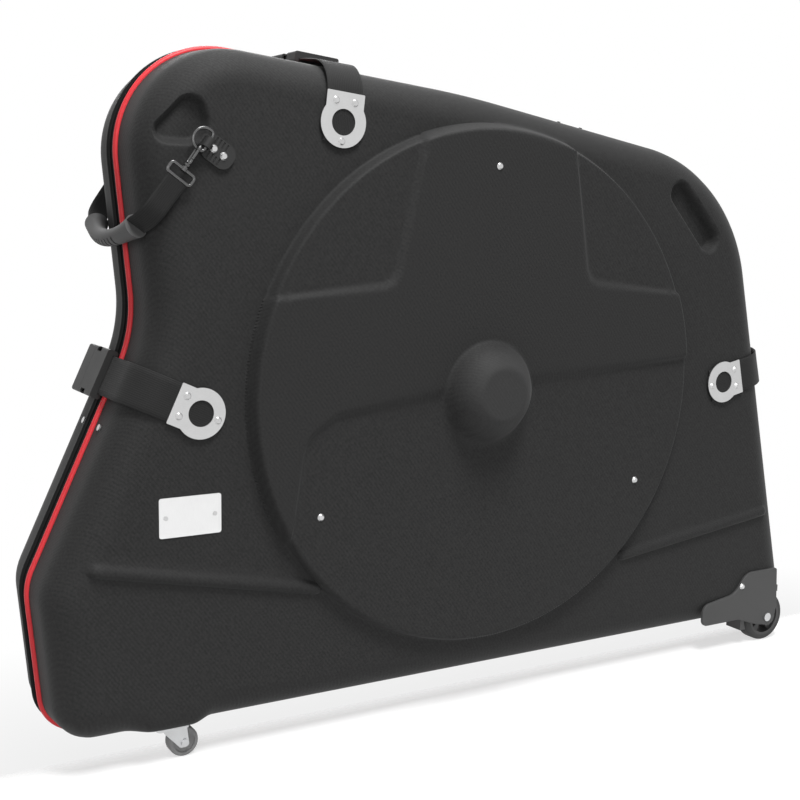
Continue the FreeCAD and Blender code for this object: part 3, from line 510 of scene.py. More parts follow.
def crease_rows():
    """Rows of points along the pocket, the slot, the dish rim, the boss, the web and the ribs."""
    pocket = rounded(POCKET_CORNERS, POCKET_ROW_GAP)
    rows = [POCKET + shrunk(pocket, offset) for offset in POCKET_ROWS] + slot_rows()
    for centre, radii in ((DISH, DISH_ROWS), (BOSS, BOSS_ROWS)):
        for r in radii:
            count = max(8, int(2 * math.pi * r / ROW_GAP))
            turn = np.linspace(0, 2 * math.pi, count, endpoint=False)
            rows.append(centre + r * np.column_stack((np.cos(turn), np.sin(turn))))
    web = rounded(WEB, ROW_GAP)
    for offset in WEB_ROWS:
        row = shrunk(web, offset)
        rows.append(DISH + row[np.hypot(row[:, 0], row[:, 1]) < DISH_R - CLEAR])
    for start, end in RIBS:
        a, b = np.array(start, float), np.array(end, float)
        run = (b - a) / np.linalg.norm(b - a)
        across = np.array((-run[1], run[0]))
        t = np.arange(-RIB_RUN_OUT, np.linalg.norm(b - a) + RIB_RUN_OUT, ROW_GAP)
        for offset in RIB_ROWS:
            row = DISH + a + np.outer(t, run) + across * offset
            rows.append(row[np.hypot(*(row - DISH).T) > DISH_R + CLEAR])
    return rows


def spaced(kept, new, gap):
    """New points that lie at least a gap from those kept."""
    cells = {}
    for p in kept:
        cells.setdefault((int(p[0] // gap), int(p[1] // gap)), []).append(p)
    added = []
    for p in new:
        i, j = int(p[0] // gap), int(p[1] // gap)
        near = [q for a in (-1, 0, 1) for b in (-1, 0, 1) for q in cells.get((i + a, j + b), ())]
        if all((p[0] - q[0]) ** 2 + (p[1] - q[1]) ** 2 >= gap * gap for q in near):
            added.append(p)
    return added


print("rows along the creases:", len(crease_rows()))

# %% Mesh of one half
WALL_HEIGHTS, ARC_TURNS = (8, 15, 23, 31, 39, 47), (12, 24, 36)
EDGE_ROWS, EDGE_ROW_GAP = (14, 18, 22.5, 28, 33, 38, 43, 48), 3.0
POINT_GAP, NET_MARGIN, NET_TOLERANCE, GRID_GAP = 1.6, 2.0, 1e-5, GRID * 0.6


def face_points(last):
    """Points of the face net: the last ring, the rows along the creases and the edge, then a plain grid."""
    kept = [tuple(p) for p in shrunk(edge_path, last)]
    for row in crease_rows():
        row = row[distance_inside(row, edge_path) > last + NET_MARGIN]
        kept += spaced(kept, [tuple(p) for p in row], POINT_GAP)
    for inward in EDGE_ROWS:
        kept += spaced(kept, [tuple(p) for p in shrunk(edge_path, inward)], EDGE_ROW_GAP)
    low, high = edge_path.min(0), edge_path.max(0)
    xs, zs = np.meshgrid(np.arange(low[0], high[0], GRID), np.arange(low[1], high[1], GRID))
    grid = np.column_stack((xs.ravel(), zs.ravel()))
    grid = grid[distance_inside(grid, edge_path) > last + GRID_GAP]
    return kept + spaced(kept, [tuple(p) for p in grid], GRID_GAP)


def half_skin():
    """Closed mesh of one half's outer form: rings, face net and a flat lid in the rim plane."""
    start = DRAFT * (FACE_Y - EDGE_R - RIM_Y)
    profile = [(DRAFT * (y - RIM_Y), y) for y in WALL_HEIGHTS]
    for turn in ARC_TURNS:
        a = math.radians(turn)
        profile.append((start + EDGE_R * (1 - math.cos(a)), FACE_Y - EDGE_R + EDGE_R * math.sin(a)))
    last, count = profile[-1][0], len(edge_path)
    points = [Vector(p) for p in face_points(last)]
    found = geometry.delaunay_2d_cdt(points, [], [list(range(count))], 1, NET_TOLERANCE)
    flat = np.array([tuple(p) for p in found[0]])
    inset = distance_inside(flat, edge_path)
    high = face_height(flat, np.maximum(inset, last))
    mesh = bmesh.new()
    rings = []
    for inward, y in profile[:-1]:
        rings.append([mesh.verts.new((x * MM, -y * MM, z * MM)) for x, z in shrunk(edge_path, inward)])
    net = [mesh.verts.new((x * MM, -y * MM, z * MM)) for (x, z), y in zip(flat, high)]
    rings.append(net[:count])
    for a, b in zip(rings, rings[1:]):
        for i in range(count):
            mesh.faces.new((a[i], a[(i + 1) % count], b[(i + 1) % count], b[i]))
    for triangle in found[2]:
        mesh.faces.new([net[i] for i in triangle])
    mesh.faces.new(rings[0])
    bmesh.ops.recalc_face_normals(mesh, faces=mesh.faces)
    return mesh


skin = half_skin()
print("skin of one half:", len(skin.verts), "points,", len(skin.faces), "faces")

# %% [markdown]
# The caster needs a flat seat, and the bottom edge is round there. So the edge is drawn out into a squarer
# corner over the caster: both offsets from the rounding's centre are raised to a power, which fades out to
# each side.

# %% Squarer corner over the caster
BOTTOM_Z, CASTER_X, CASTER_Y = 37.0, -430.0, 64.0
PAD, PAD_Z, PAD_BLEND, PAD_SQUARE = 46.0, 43.0, 34.0, 0.6


def square_over_caster(mesh):
    """Draws the rounded bottom edge out into a squarer corner over the caster."""
    centre_y, centre_z = FACE_Y - EDGE_R, BOTTOM_Z + DRAFT * (FACE_Y - EDGE_R - RIM_Y) + EDGE_R
    for v in mesh.verts:
        x, y, z = (c / MM for c in v.co)
        out, down = (-y - centre_y) / EDGE_R, (centre_z - z) / EDGE_R
        if 0 < out < 1 and 0 < down < 1:
            near = 1 - soft_step(PAD / 2, PAD / 2 + PAD_BLEND, abs(x - CASTER_X))
            power = 1 - near * PAD_SQUARE
            v.co.y = -(centre_y + EDGE_R * out ** power) * MM
            v.co.z = (centre_z - EDGE_R * down ** power) * MM


square_over_caster(skin)
print("squarer corner:", PAD + 2 * PAD_BLEND, "mm long with its fading ends")

# %% [markdown]
# Two places are cut out of the pressed form: the corner niche that takes the rear wheel, and the flat seat
# over the caster. Exact booleans with plain boxes give them crisp edges. Then the lid goes, and Solidify
# gives the skin the thickness of the board. The far half is the near one's mirror image.

# %% Pieces and meshes
def new_piece(name, mesh, body):
    """A piece of the scene made from a mesh: it rides on a body."""
    obj = bpy.data.objects.new(name, mesh)
    scene.collection.objects.link(obj)
    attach(obj, body)
    return obj


def mesh_from(bm, name):
    mesh = bpy.data.meshes.new(name)
    bm.to_mesh(mesh)
    bm.free()
    return mesh


def box_mesh(low, high):
    bm = bmesh.new()
    bmesh.ops.create_cube(bm, size=1.0)
    for v in bm.verts:
        v.co = [(lo + (hi - lo) * (c + 0.5)) * MM for c, lo, hi in zip(v.co, low, high)]
    return bm


print("mesh helpers ready")

# %% Cut the niche and the seat
NICHE_X, NICHE_Y, NICHE_Z = 478.0, 62.7, 85.3
FAR_OUT = 700.0


def applied(obj):
    """The mesh of an object with its modifiers applied; the object goes."""
    bpy.context.view_layer.update()
    mesh = bpy.data.meshes.new_from_object(obj.evaluated_get(bpy.context.evaluated_depsgraph_get()))
    bpy.data.objects.remove(obj)
    return mesh


def cut_skin():
    work = bpy.data.objects.new("work", mesh_from(skin, "work"))
    scene.collection.objects.link(work)
    half = PAD / 2
    boxes = (
        ((NICHE_X, -FAR_OUT, -FAR_OUT), (FAR_OUT, -NICHE_Y, NICHE_Z)),
        ((CASTER_X - half, -FAR_OUT, -FAR_OUT), (CASTER_X + half, -CASTER_Y + half, PAD_Z)),
    )
    tools = []
    for low, high in boxes:
        tool = bpy.data.objects.new("tool", mesh_from(box_mesh(low, high), "tool"))
        scene.collection.objects.link(tool)
        step = work.modifiers.new("cut", "BOOLEAN")
        step.operation, step.object, step.solver = "DIFFERENCE", tool, "EXACT"
        tools.append(tool)
    mesh = applied(work)
    for tool in tools:
        bpy.data.objects.remove(tool)
    return mesh


cut_mesh = cut_skin()
print("after the cuts:", len(cut_mesh.polygons), "faces")

# %% Thicken and mirror
LID_TOLERANCE, BOARD_CREASE = 1e-6, 42


def opened(mesh):
    """Takes the lid off a closed half and thickens what is left inwards."""
    bm = bmesh.new()
    bm.from_mesh(mesh)
    lid = [f for f in bm.faces if all(abs(v.co.y + RIM_Y * MM) < LID_TOLERANCE for v in f.verts)]
    bmesh.ops.delete(bm, geom=lid, context="FACES")
    work = bpy.data.objects.new("work", mesh_from(bm, "work"))
    scene.collection.objects.link(work)
    board = work.modifiers.new("board", "SOLIDIFY")
    board.thickness, board.offset = WALL * MM, -1
    return applied(work)


def mirrored(mesh, name):
    bm = bmesh.new()
    bm.from_mesh(mesh)
    for v in bm.verts:
        v.co.y = -v.co.y
    bmesh.ops.reverse_faces(bm, faces=bm.faces)
    return mesh_from(bm, name)


def smoothed(mesh, degrees):
    """Smooth shading, but sharp where two faces meet at more than an angle."""
    mesh.shade_smooth()
    mesh.set_sharp_from_angle(angle=math.radians(degrees))


board_mesh = opened(cut_mesh)
board_mesh.name = "near_board"
smoothed(board_mesh, BOARD_CREASE)
near_board = new_piece("near_board", board_mesh, "near_case")
far_board = new_piece("far_board", mirrored(board_mesh, "far_board"), "far_case")
smoothed(far_board.data, BOARD_CREASE)
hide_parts("near_shell")
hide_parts("far_shell")
print("board of one half:", len(board_mesh.polygons), "faces")

# %% [markdown]
# ## Piping and zip
# The piping is a soft cord sewn into the edge, and the zip is a woven tape with a nylon coil. Both follow
# the edge, so each is a section swept along the same path. The coil is a row of small loops.

# %% Sweep along the edge
def swept(path, section, closed, name):
    """A section, given as (inset, y) pairs, carried along a path of the XZ plane."""
    normals, count, size = edge_normals(path), len(path), len(section)
    verts = [
        ((x + nx * s) * MM, y * MM, (z + nz * s) * MM)
        for (x, z), (nx, nz) in zip(path, normals) for s, y in section
    ]
    faces = []
    for i in range(count if closed else count - 1):
        a, b = i * size, (i + 1) % count * size
        faces += [(a + k, a + (k + 1) % size, b + (k + 1) % size, b + k) for k in range(size)]
    if not closed:
        faces += [tuple(range(size)), tuple(range((count - 1) * size, count * size))]
    return closed_mesh(verts, faces, name)


def closed_mesh(verts, faces, name):
    bm = bmesh.new()
    points = [bm.verts.new(v) for v in verts]
    for face in faces:
        bm.faces.new([points[k] for k in face])
    bmesh.ops.recalc_face_normals(bm, faces=bm.faces)
    return mesh_from(bm, name)


ZIP_FRONT_X, ZIP_REAR_X, ZIP_STEP, ON_BOTTOM = -500.0, 455.0, 4.0, 0.5


def zip_run():
    """The part of the edge that the zip follows: all but the hinged bottom run."""
    fine = rounded(OUTLINE, ZIP_STEP)
    x, z = fine.T
    on_hinge = (z < BOTTOM_Z + ON_BOTTOM) & (x > ZIP_FRONT_X) & (x < ZIP_REAR_X)
    last = np.nonzero(on_hinge)[0][-1]
    return np.roll(fine, -last - 1, 0)[:np.count_nonzero(~on_hinge)]


zip_path = zip_run()
print("zip run:", len(zip_path), "points")

# %% Loops of the coil
TAPE_IN, TAPE_THICK, TAPE_CROWN, ZIP_GAP = 0.6, 1.6, 0.3, 0.2
TOOTH_PITCH, TOOTH_LENGTH, TOOTH_OUT = 3.4, 1.9, 1.1
TOOTH = ((-1.0, 0.2), (0.0, 0.2), (0.6, 0.75), (0.75, 1.5), (0.6, 2.3), (0.0, 2.9), (-1.0, 2.9))


def coil_mesh(path, side, name):
    """Small rounded loops of the coil, one after another along the zip."""
    steps = np.hypot(*np.diff(path, axis=0).T)
    along = np.concatenate(([0], np.cumsum(steps)))
    at = np.arange(TOOTH_PITCH, along[-1] - TOOTH_PITCH, TOOTH_PITCH)
    x, z = np.interp(at, along, path[:, 0]), np.interp(at, along, path[:, 1])
    out = -edge_normals(np.column_stack((x, z)))
    verts, faces, size = [], [], len(TOOTH)
    for cx, cz, (ox, oz) in zip(x, z, out):
        base = len(verts)
        for end in (-0.5, 0.5):
            for rise, reach in TOOTH:
                px = cx + ox * (rise * TOOTH_OUT - TAPE_IN) + oz * end * TOOTH_LENGTH
                pz = cz + oz * (rise * TOOTH_OUT - TAPE_IN) - ox * end * TOOTH_LENGTH
                verts.append((px * MM, side * reach * MM, pz * MM))
        faces += [(base + k, base + (k + 1) % size, base + size + (k + 1) % size, base + size + k)
                  for k in range(size)]
        faces += [tuple(range(base, base + size)), tuple(range(base + size, base + 2 * size))]
    return closed_mesh(verts, faces, name)


print("coil:", TOOTH_PITCH, "mm from loop to loop")

# %% Piping, tape and coil of each half
PIPING_R, PIPING_OUT, PIPING_Y, PIPING_SIDES = 4.0, 0.2, 12.0, 14
trim = {}
for half, side in HALVES.items():
    turns = [math.radians(360 * k / PIPING_SIDES) for k in range(PIPING_SIDES)]
    bead = [(PIPING_R * math.cos(a) - PIPING_OUT, side * (PIPING_Y + PIPING_R * math.sin(a))) for a in turns]
    piping = new_piece(half + "_piping_cord", swept(edge_path, bead, True, "piping"), half + "_case")
    inner = TAPE_IN + TAPE_THICK
    band = [(TAPE_IN, side * ZIP_GAP), (TAPE_IN - TAPE_CROWN, side * RIM_Y / 2), (TAPE_IN, side * RIM_Y),
            (inner, side * RIM_Y), (inner, side * ZIP_GAP)]
    tape = new_piece(half + "_tape", swept(zip_path, band, False, "tape"), half + "_case")
    coil = new_piece(half + "_coil", coil_mesh(zip_path, side, "coil"), half + "_case")
    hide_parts(half + "_piping")
    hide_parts(half + "_zip_tape")
    piping.data.shade_smooth()
    trim[half] = piping, tape, coil
print("coil of one half:", len(trim["near"][2].data.polygons), "faces")

# %% [markdown] The hinge strip joins the halves along the bottom, where the zip stops.

# %% Hinge strip
HINGE_THICK, HINGE_END_GAP, HINGE_CROWN, HINGE_SEAM = 2.0, 1.0, 0.5, 1.0
HINGE_SPANS, HINGE_STATIONS = 12, 60


def hinge_mesh():
    low = BOTTOM_Z + TAPE_IN
    section = []
    for k in range(HINGE_SPANS + 1):
        y = RIM_Y * (2 * k / HINGE_SPANS - 1)
        section.append((y, low + HINGE_CROWN * math.cos(math.pi * y / RIM_Y / 2)))
    section += [(y, z + HINGE_THICK - HINGE_CROWN) for y, z in reversed(section)]
    stations = np.linspace(ZIP_FRONT_X + HINGE_END_GAP, ZIP_REAR_X - HINGE_END_GAP, HINGE_STATIONS)
    size = len(section)
    verts = [(x * MM, y * MM, z * MM) for x in stations for y, z in section]
    faces = [
        (i * size + k, i * size + (k + 1) % size, (i + 1) * size + (k + 1) % size, (i + 1) * size + k)
        for i in range(len(stations) - 1) for k in range(size)
    ]
    faces += [tuple(range(size)), tuple(range((len(stations) - 1) * size, len(stations) * size))]
    return closed_mesh(verts, faces, "hinge")


hinge = bpy.data.objects.new("hinge_cloth", hinge_mesh())
scene.collection.objects.link(hinge)
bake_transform(hinge)
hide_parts("hinge_strip")
print("hinge cloth:", len(hinge.data.polygons), "faces")

# %% [markdown]
# ## Webbing
# Each lashing strap is a flat woven band: it lies under its steel plate, bends over the rounded edge and
# runs into its buckle. A band is a path in the plane square to the edge, with a thin rounded section carried
# along it. Its UV map is in metres, so the weave keeps its scale on every strap. A little waviness along the
# free run keeps it from looking like sheet metal.

# %% A band of webbing
BAND_POINTS, BAND_FLAT, BAND_CREASE = 9, 0.96, 50
LONG_WAVE, LONG_LEAN, SHORT_WAVE, SHORT_LEAN, SHORT_SHARE = 17.0, 15.0, 7.0, 21.0, 0.6


def waviness(at, w):
    """Height of the small waves in a band, at a length along it and a width across it."""
    long, short = at / LONG_WAVE + w / LONG_LEAN, at / SHORT_WAVE - w / SHORT_LEAN
    return math.sin(long) + SHORT_SHARE * math.sin(short)


def band_mesh(path, width, thick, foot, angle, name, wave=0.0):
    """A flat band along a path of (outwards, y) points, placed at a foot in XZ and turned to an angle."""
    along = np.gradient(path, axis=0)
    along /= np.linalg.norm(along, axis=1)[:, None]
    normal = np.column_stack((-along[:, 1], along[:, 0]))
    gone = np.concatenate(([0], np.cumsum(np.hypot(*np.diff(path, axis=0).T))))
    half, edge = width / 2, thick / 2
    across = np.linspace(-half + edge, half - edge, BAND_POINTS)
    section = [(w, edge * BAND_FLAT) for w in across] + [(half, 0.0)]
    section += [(w, -edge * BAND_FLAT) for w in reversed(across)] + [(-half, 0.0)]
    c, s = math.cos(angle), math.sin(angle)
    bm = bmesh.new()
    rows = []
    for p, n, at in zip(path, normal, gone):
        free = math.sin(math.pi * min(max(at / gone[-1], 0), 1)) ** 2
        row = []
        for w, h in section:
            u, y = p + n * (h + wave * free * waviness(at, w))
            x, z = foot[0] + u * c - w * s, foot[1] + u * s + w * c
            row.append(bm.verts.new((x * MM, y * MM, z * MM)))
        rows.append(row)
    uv, size = bm.loops.layers.uv.new("weave"), len(section)
    for i in range(len(rows) - 1):
        for k in range(size):
            nxt = (k + 1) % size
            face = bm.faces.new((rows[i][k], rows[i][nxt], rows[i + 1][nxt], rows[i + 1][k]))
            for loop, (kk, ii) in zip(face.loops, ((k, i), (nxt, i), (nxt, i + 1), (k, i + 1))):
                loop[uv].uv = section[kk][0] * MM, gone[ii] * MM
    bm.faces.new(rows[0])
    bm.faces.new(list(reversed(rows[-1])))
    bmesh.ops.recalc_face_normals(bm, faces=bm.faces)
    mesh = mesh_from(bm, name)
    smoothed(mesh, BAND_CREASE)
    return mesh


print("bands: a section of", 2 * BAND_POINTS + 2, "points")

# %% Lashing straps
WEB_WIDTH, WEB_THICK, WEB_WAVE, WEB_ROW, STRAP_Y = 48.0, 2.2, 0.25, 3.0, 93.6
PLATE_RING_R, STRAP_END_INSET = 30.0, 6.0
SHOULDER_X, BEND_R, CREST_Y, CREST_R, STRAP_RISE, FAR_BEND_R = 0.5, 46.0, 16.0, 22.0, 8.5, 25.0
NEAR_END_Y, FAR_END_Y = 1.0, 55.0
RINGS = {"top": ((-216.0, 754.0), 3), "front": ((-397.0, 419.0), 5), "rear": ((414.0, 411.0), 1)}


def edge_frame(ring, side):
    """Distance from a ring to a side of the outline, the foot on the edge and the outward angle."""
    a, b = Vector(OUTLINE[side][:2]), Vector(OUTLINE[(side + 1) % len(OUTLINE)][:2])
    along = (b - a).normalized()
    out = Vector((along.y, -along.x))
    distance = (a - Vector(ring)).dot(out)
    return distance, Vector(ring) + out * distance, math.atan2(out.y, out.x)


webbing = []
for name, (ring_at, side) in RINGS.items():
    reach, foot, angle = edge_frame(ring_at, side)
    tail = -reach - PLATE_RING_R + STRAP_END_INSET
    near_path = [(tail, -STRAP_Y, 0), (SHOULDER_X, -STRAP_Y, BEND_R), (STRAP_RISE, -CREST_Y, CREST_R),
                 (STRAP_RISE, NEAR_END_Y, 0)]
    far_path = [(tail, STRAP_Y, 0), (STRAP_RISE, STRAP_Y, FAR_BEND_R), (STRAP_RISE, FAR_END_Y, 0)]
    for half, corners in (("near", near_path), ("far", far_path)):
        path = rounded(corners, WEB_ROW, closed=False)
        mesh = band_mesh(path, WEB_WIDTH, WEB_THICK, foot, angle, name, WEB_WAVE)
        piece = new_piece(name + "_web_" + half, mesh, half + "_case")
        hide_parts(name + "_strap_" + half)
        webbing.append(piece)
print("lashing straps:", len(webbing))

# %% [markdown]
# The handle's webbing runs from the strap eye into the end of the grip, on the body that swings with the
# hook. Inside each half, three short straps on the rivets of the dish hold the packed wheel.

# %% Handle webbing and inner wheel straps
PIVOT, HANDLE_ANGLE, DRING_Y, HANDLE_WIDTH = (-393.0, 727.0), math.radians(234.0), 102.0, 26.0
HANDLE_START, HANDLE_ROW, KNEE_R, STRAP_LEAD = 55.2, 2.5, 30.0, 28.0
GRIP_REACH, GRIP_END_Y, GRIP_BOW_R = 137.0, 72.0, 150.0
GRIP_TURN = math.asin(GRIP_END_Y / GRIP_BOW_R)
HANDLE_END = Vector((GRIP_REACH - GRIP_BOW_R * (1 - math.cos(GRIP_TURN)), GRIP_END_Y))
KNEE = HANDLE_END - Vector((math.sin(GRIP_TURN), -math.cos(GRIP_TURN))) * STRAP_LEAD
RIVET_RING_R, INNER_WIDTH, INNER_LENGTH, INNER_THICK, INNER_OUT = 284.0, 40.0, 96.0, 2.5, 16.0
INNER_SEATS, INNER_POINTS = {90.0: 107.0, 210.0: 101.0, 330.0: 101.0}, 30
for half, side in HALVES.items():
    route = [(HANDLE_START, side * DRING_Y, 0), (KNEE.x, side * KNEE.y, KNEE_R),
             (HANDLE_END.x, side * HANDLE_END.y, 0)]
    path = rounded(route, HANDLE_ROW, closed=False)
    mesh = band_mesh(path, HANDLE_WIDTH, WEB_THICK, PIVOT, HANDLE_ANGLE, "handle")
    piece = new_piece(half + "_handle_web", mesh, half + "_handle")
    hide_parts(half + "_handle_strap")
    webbing.append(piece)
    inner = bmesh.new()
    for degrees, seat in INNER_SEATS.items():
        y, start = side * (seat - INNER_THICK / 2), RIVET_RING_R + INNER_OUT
        run = np.linspace(start - INNER_LENGTH, start, INNER_POINTS)
        line = np.column_stack((run, np.full(INNER_POINTS, y)))
        inner.from_mesh(band_mesh(line, INNER_WIDTH, INNER_THICK, DISH, math.radians(degrees), "inner"))
    piece = new_piece(half + "_inner_webs", mesh_from(inner, "inner_webs"), half + "_case")
    piece.data.shade_smooth()
    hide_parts(half + "_wheel_straps")
    webbing.append(piece)
print("bands of webbing:", len(webbing))

# %% [markdown]
# ## Finishes
# The skin is a twill-woven cloth pressed onto the board: at arm's length it is a dark, uneven grain, with
# fine slanting lines where light grazes it. The grain is noise, and the lines are a sine along a slanting
# direction of the object's own coordinates, so they need no UV map and run on over the rounded edge. The top
# of the hub boss has a painted highlight, paler where the skin stands furthest out, and the far half's wall
# by the zip has painted shade, darker near the zip.

# %% Woven skin
TWILL, TWILL_PITCH, TWILL_DRIFT = (1.0, 0.9, 0.75), 0.0034, 0.004
THREAD, THREAD_PITCH = (-0.75, 0.6, 1.0), 0.0017
SKIN_DARK, SKIN_PALE, SKIN_MEAN = grey(0.008), grey(0.063), grey(0.033)
# The first colour is a painted highlight for the top of the hub boss; the second is painted shade for the
# far half's wall by the zip.
SKIN_HIGHLIGHT, SKIN_FAR_SHADE = grey(0.085), grey(0.012)
# Painted highlight: it fades in between these distances from the zip plane, in metres, and this share of it
# is mixed in.
HIGHLIGHT_START, HIGHLIGHT_END, HIGHLIGHT_SHARE = 0.120, 0.148, 0.42
# Painted shade on the far half: full up to the first distance from the zip plane, gone at the second; the
# factor keeps the near half out of it.
FAR_SHADE_START, FAR_SHADE_END, NEAR_PUSH = 0.014, 0.075, -12.0
CLOUD, FUZZ, SLUB = (5.0, 4.0), (1400.0, 2.0), (420.0, 3.0)  # scale per metre and detail of each noise


def slant(finish, direction, pitch, shift=0.0):
    """A wave from 0 to 1 across a direction; its pitch and any shift of its lines are in metres."""
    along = finish.node("ShaderNodeVectorMath", {"operation": "DOT_PRODUCT"}, {
        0: finish.place(), 1: Vector(direction).normalized()}, "Value")
    return ((along + shift) * (2 * math.pi / pitch)).wave()


def woven_skin():
    skin = Finish("woven_skin", Sheen_Weight=0.06, Sheen_Roughness=0.4, Specular_IOR_Level=0.14)
    cloud = skin.noise(*CLOUD)
    fuzz = skin.noise(*FUZZ)
    twill = slant(skin, TWILL, TWILL_PITCH, cloud * TWILL_DRIFT)
    thread = slant(skin, THREAD, THREAD_PITCH)
    slub = skin.noise(*SLUB)
    colour = skin.mix(twill * 0.1 + thread * 0.1 + slub * 0.8, SKIN_DARK, SKIN_PALE)
    colour = skin.mix(cloud * 0.35, colour, SKIN_MEAN)
    y = skin.axis("Y")
    # Painted highlight: the skin turns paler where it stands furthest out, on the top of the hub boss.
    painted_highlight = skin.ramp(abs(y), HIGHLIGHT_START, HIGHLIGHT_END)
    colour = skin.mix(painted_highlight * HIGHLIGHT_SHARE, colour, SKIN_HIGHLIGHT)
    # Painted shade: the far half's skin is darker near the zip, and the near half is kept out of it.
    out_of_far_shade = skin.ramp(y.at_least(y * NEAR_PUSH), FAR_SHADE_START, FAR_SHADE_END)
    colour = skin.mix(out_of_far_shade, SKIN_FAR_SHADE, colour)
    skin.feed({"Base Color": colour, "Roughness": fuzz * 0.14 + 0.54})
    return skin.bump(twill * 0.3 + thread * 0.2 + fuzz * 0.4, strength=0.3, distance=0.0004)


skin_finish = woven_skin()
paint(skin_finish, near_board, far_board)
print("skin on", near_board.name, "and", far_board.name)

# %% [markdown]
# The piping is a coated cord with a faint rib, bright red on the near half and dark on the far one. The zip
# tape and the coil are matt nylon. The webbing's weave follows its UV map: ribs along the band, and rows of
# weft across it that step by half a pitch from rib to rib.

# %% Piping, tape and webbing
CORD_RIB, CORD_RIB_PITCH, TAPE_WEAVE = (1.0, 0.3, 1.0), 0.0022, (1.0, 0.0, 1.0)
RIB_PITCH, WEFT_PITCH = 0.0024, 0.0016
CORD_WEAR, TAPE_FUZZ, WEB_FUZZ = (60.0, 3.0), (900.0, 2.0), (1100.0, 2.0)


def piping_finish(name, colour, dark, gloss):
    cord = Finish(name, Coat_Weight=gloss, Coat_Roughness=0.35, Specular_IOR_Level=gloss * 2)
    rib = slant(cord, CORD_RIB, CORD_RIB_PITCH)
    wear = cord.noise(*CORD_WEAR)
    cord.feed({
        "Base Color": cord.mix(wear * 0.5 + rib * 0.2, colour, dark),
        "Roughness": wear * 0.2 + 0.34,
    })
    return cord.bump(rib * 0.5 + wear * 0.5, strength=0.25, distance=0.0003)


def tape_finish(name, pitch, low, high):
    tape = Finish(name, Roughness=0.75, Specular_IOR_Level=0.1)
    weave = slant(tape, TAPE_WEAVE, pitch)
    fuzz = tape.noise(*TAPE_FUZZ)
    tape.feed({"Base Color": tape.mix(weave * 0.6 + fuzz * 0.4, grey(low), grey(high))})
    return tape.bump(weave + fuzz * 0.5, strength=0.5, distance=0.0003)


def webbing_finish():
    web = Finish("woven_webbing", Sheen_Weight=0.08, Sheen_Roughness=0.45, Specular_IOR_Level=0.15)
    width = web.node("ShaderNodeSeparateXYZ", None, {"Vector": web.place("UV")}, "X")
    length = width.beside("Y")
    ribs = (width * (2 * math.pi / RIB_PITCH)).wave()
    rows = (length * (2 * math.pi / WEFT_PITCH) + ribs * math.pi).wave()
    fuzz = web.noise(*WEB_FUZZ)
    level = rows * 0.4 + ribs * 0.3 + fuzz * 0.3
    web.feed({"Base Color": web.mix(level, grey(0.016), grey(0.042)), "Roughness": rows * 0.15 + 0.6})
    return web.bump(rows * 0.5 + ribs * 0.5 + fuzz * 0.2, strength=0.5, distance=0.0005)


RED, RED_SHADE = (0.95, 0.05, 0.065, 1), (0.86, 0.04, 0.05, 1)
paint(piping_finish("red_piping", RED, RED_SHADE, 0.15), trim["near"][0])
paint(piping_finish("dark_piping", grey(0.009), grey(0.005), 0.04), trim["far"][0])
tape_cloth = tape_finish("zip_tape", 0.0018, 0.010, 0.022)
coil_nylon = tape_finish("coil", 0.004, 0.012, 0.02)
paint(tape_cloth, hinge, *(tape for _, tape, _ in trim.values()))
paint(coil_nylon, *(coil for _, _, coil in trim.values()))
paint(webbing_finish(), *webbing)
print("cloth finishes:", tape_cloth.material.name, coil_nylon.material.name)

# %% [markdown]
# Metals differ by how they were worked: the plates are brushed sheet, the hooks and rings are dark nickel,
# the casters and axles are zinc-plated, and the name plate is satin aluminium. Brushing is noise stretched
# along one direction, which varies the roughness and lightly marks the surface.

# %% Metals
MARK_SCALE, MARK_DETAIL, SMUDGE = 220.0, 4.0, (45.0, 3.0)


def metal(name, colour, shade, rough, spread, stretch, scale=MARK_SCALE):
    """A worked metal: stretched noise gives brush marks, broad noise gives handling marks."""
    sheet = Finish(name, Metallic=1.0)
    lined = sheet.node("ShaderNodeMapping", None, {"Vector": sheet.place(), "Scale": stretch})
    marks = sheet.noise(scale, MARK_DETAIL, lined)
    smudge = sheet.noise(*SMUDGE)
    sheet.feed({
        "Base Color": sheet.mix(marks * 0.5 + smudge * 0.4, colour, shade),
        "Roughness": marks * spread + smudge * 0.12 + rough,
    })
    return sheet.bump(marks, strength=0.12, distance=0.0002)


def both(*pieces):
    """The names of pieces that each half has."""
    return [half + "_" + piece for half in HALVES for piece in pieces]


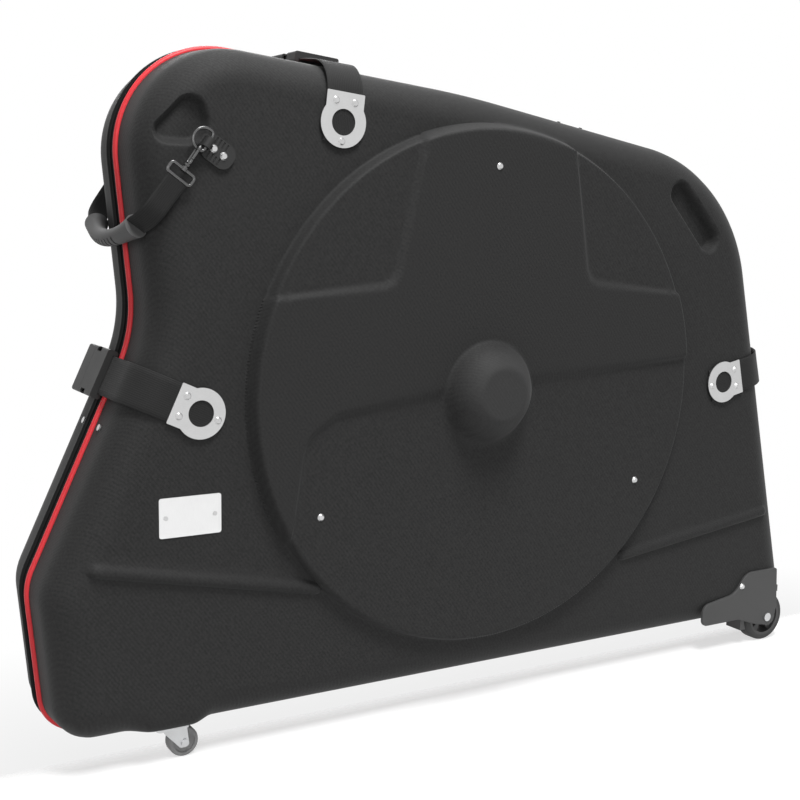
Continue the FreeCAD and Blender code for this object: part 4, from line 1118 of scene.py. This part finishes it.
BRUSHED_ALONG, BRUSHED_UP, EVEN = (1.0, 1.0, 14.0), (14.0, 1.0, 1.0), (1.0, 1.0, 1.0)
METAL_PIECES = (
    (metal("brushed_plate", grey(0.66), grey(0.46), 0.26, 0.16, BRUSHED_ALONG), both("strap_plates")),
    (metal("dark_nickel", grey(0.15), grey(0.07), 0.16, 0.08, EVEN),
     both("d_ring", "snap_hook", "hook_gate", "strap_eye")),
    (metal("rivet_metal", grey(0.64), grey(0.46), 0.22, 0.10, EVEN), both("fasteners")),
    (metal("caster_zinc", (0.60, 0.61, 0.62, 1), grey(0.42), 0.22, 0.14, EVEN, 90.0),
     both("caster_plate", "caster_fork", "caster_axle", "rear_axle")),
    (metal("name_plate_satin", grey(0.82), grey(0.70), 0.34, 0.14, BRUSHED_UP), ["name_plate"]),
    (metal("zip_black", grey(0.05), grey(0.10), 0.30, 0.10, EVEN),
     ["zip_slider_front", "zip_slider_rear", "zip_pull_front", "zip_pull_rear"]),
)
for finish, pieces in METAL_PIECES:
    paint(finish, *pieces)
print("metals:", len(METAL_PIECES))

# %% [markdown]
# Moulded plastics carry a fine spark-eroded grain, and rubber is duller with a bloom of dust. One function
# makes both, from the depth of the grain and how much the level wanders.

# %% Plastics and rubbers
PIT_DETAIL, BLOOM = 3.0, (28.0, 4.0)


def moulded(name, level, shade, rough, grain, depth):
    """A moulded piece between two greys: its grain is in pits per metre, and the depth of them in metres."""
    part = Finish(name, Specular_IOR_Level=0.45)
    pits = part.noise(grain, PIT_DETAIL)
    bloom = part.noise(*BLOOM)
    part.feed({
        "Base Color": part.mix(bloom * 0.6 + pits * 0.2, grey(level), grey(shade)),
        "Roughness": pits * 0.12 + bloom * 0.12 + rough,
    })
    return part.bump(pits, strength=0.3, distance=depth)


buckles = [name + "_buckle_" + part for name in RINGS for part in ("female", "male")]
MOULDED_PIECES = (
    (moulded("buckle_plastic", 0.015, 0.022, 0.44, 1500.0, 0.0002), buckles),
    (moulded("tab_rubber", 0.020, 0.028, 0.60, 900.0, 0.0003), both("handle_tab")),
    (moulded("grip_rubber", 0.095, 0.125, 0.52, 1200.0, 0.0003), ["handle_grip"]),
    (moulded("housing_plastic", 0.070, 0.085, 0.42, 1300.0, 0.0002), both("rear_housing")),
    (moulded("wheel_plastic", 0.060, 0.075, 0.40, 1300.0, 0.0002), both("rear_hub")),
    (moulded("tyre_rubber", 0.050, 0.065, 0.60, 700.0, 0.0003), both("rear_tyre")),
    (moulded("caster_roller", 0.26, 0.31, 0.40, 900.0, 0.0002), both("caster_wheel")),
)
for finish, pieces in MOULDED_PIECES:
    paint(finish, *pieces)
print("moulded finishes:", len(MOULDED_PIECES))

# %% [markdown]
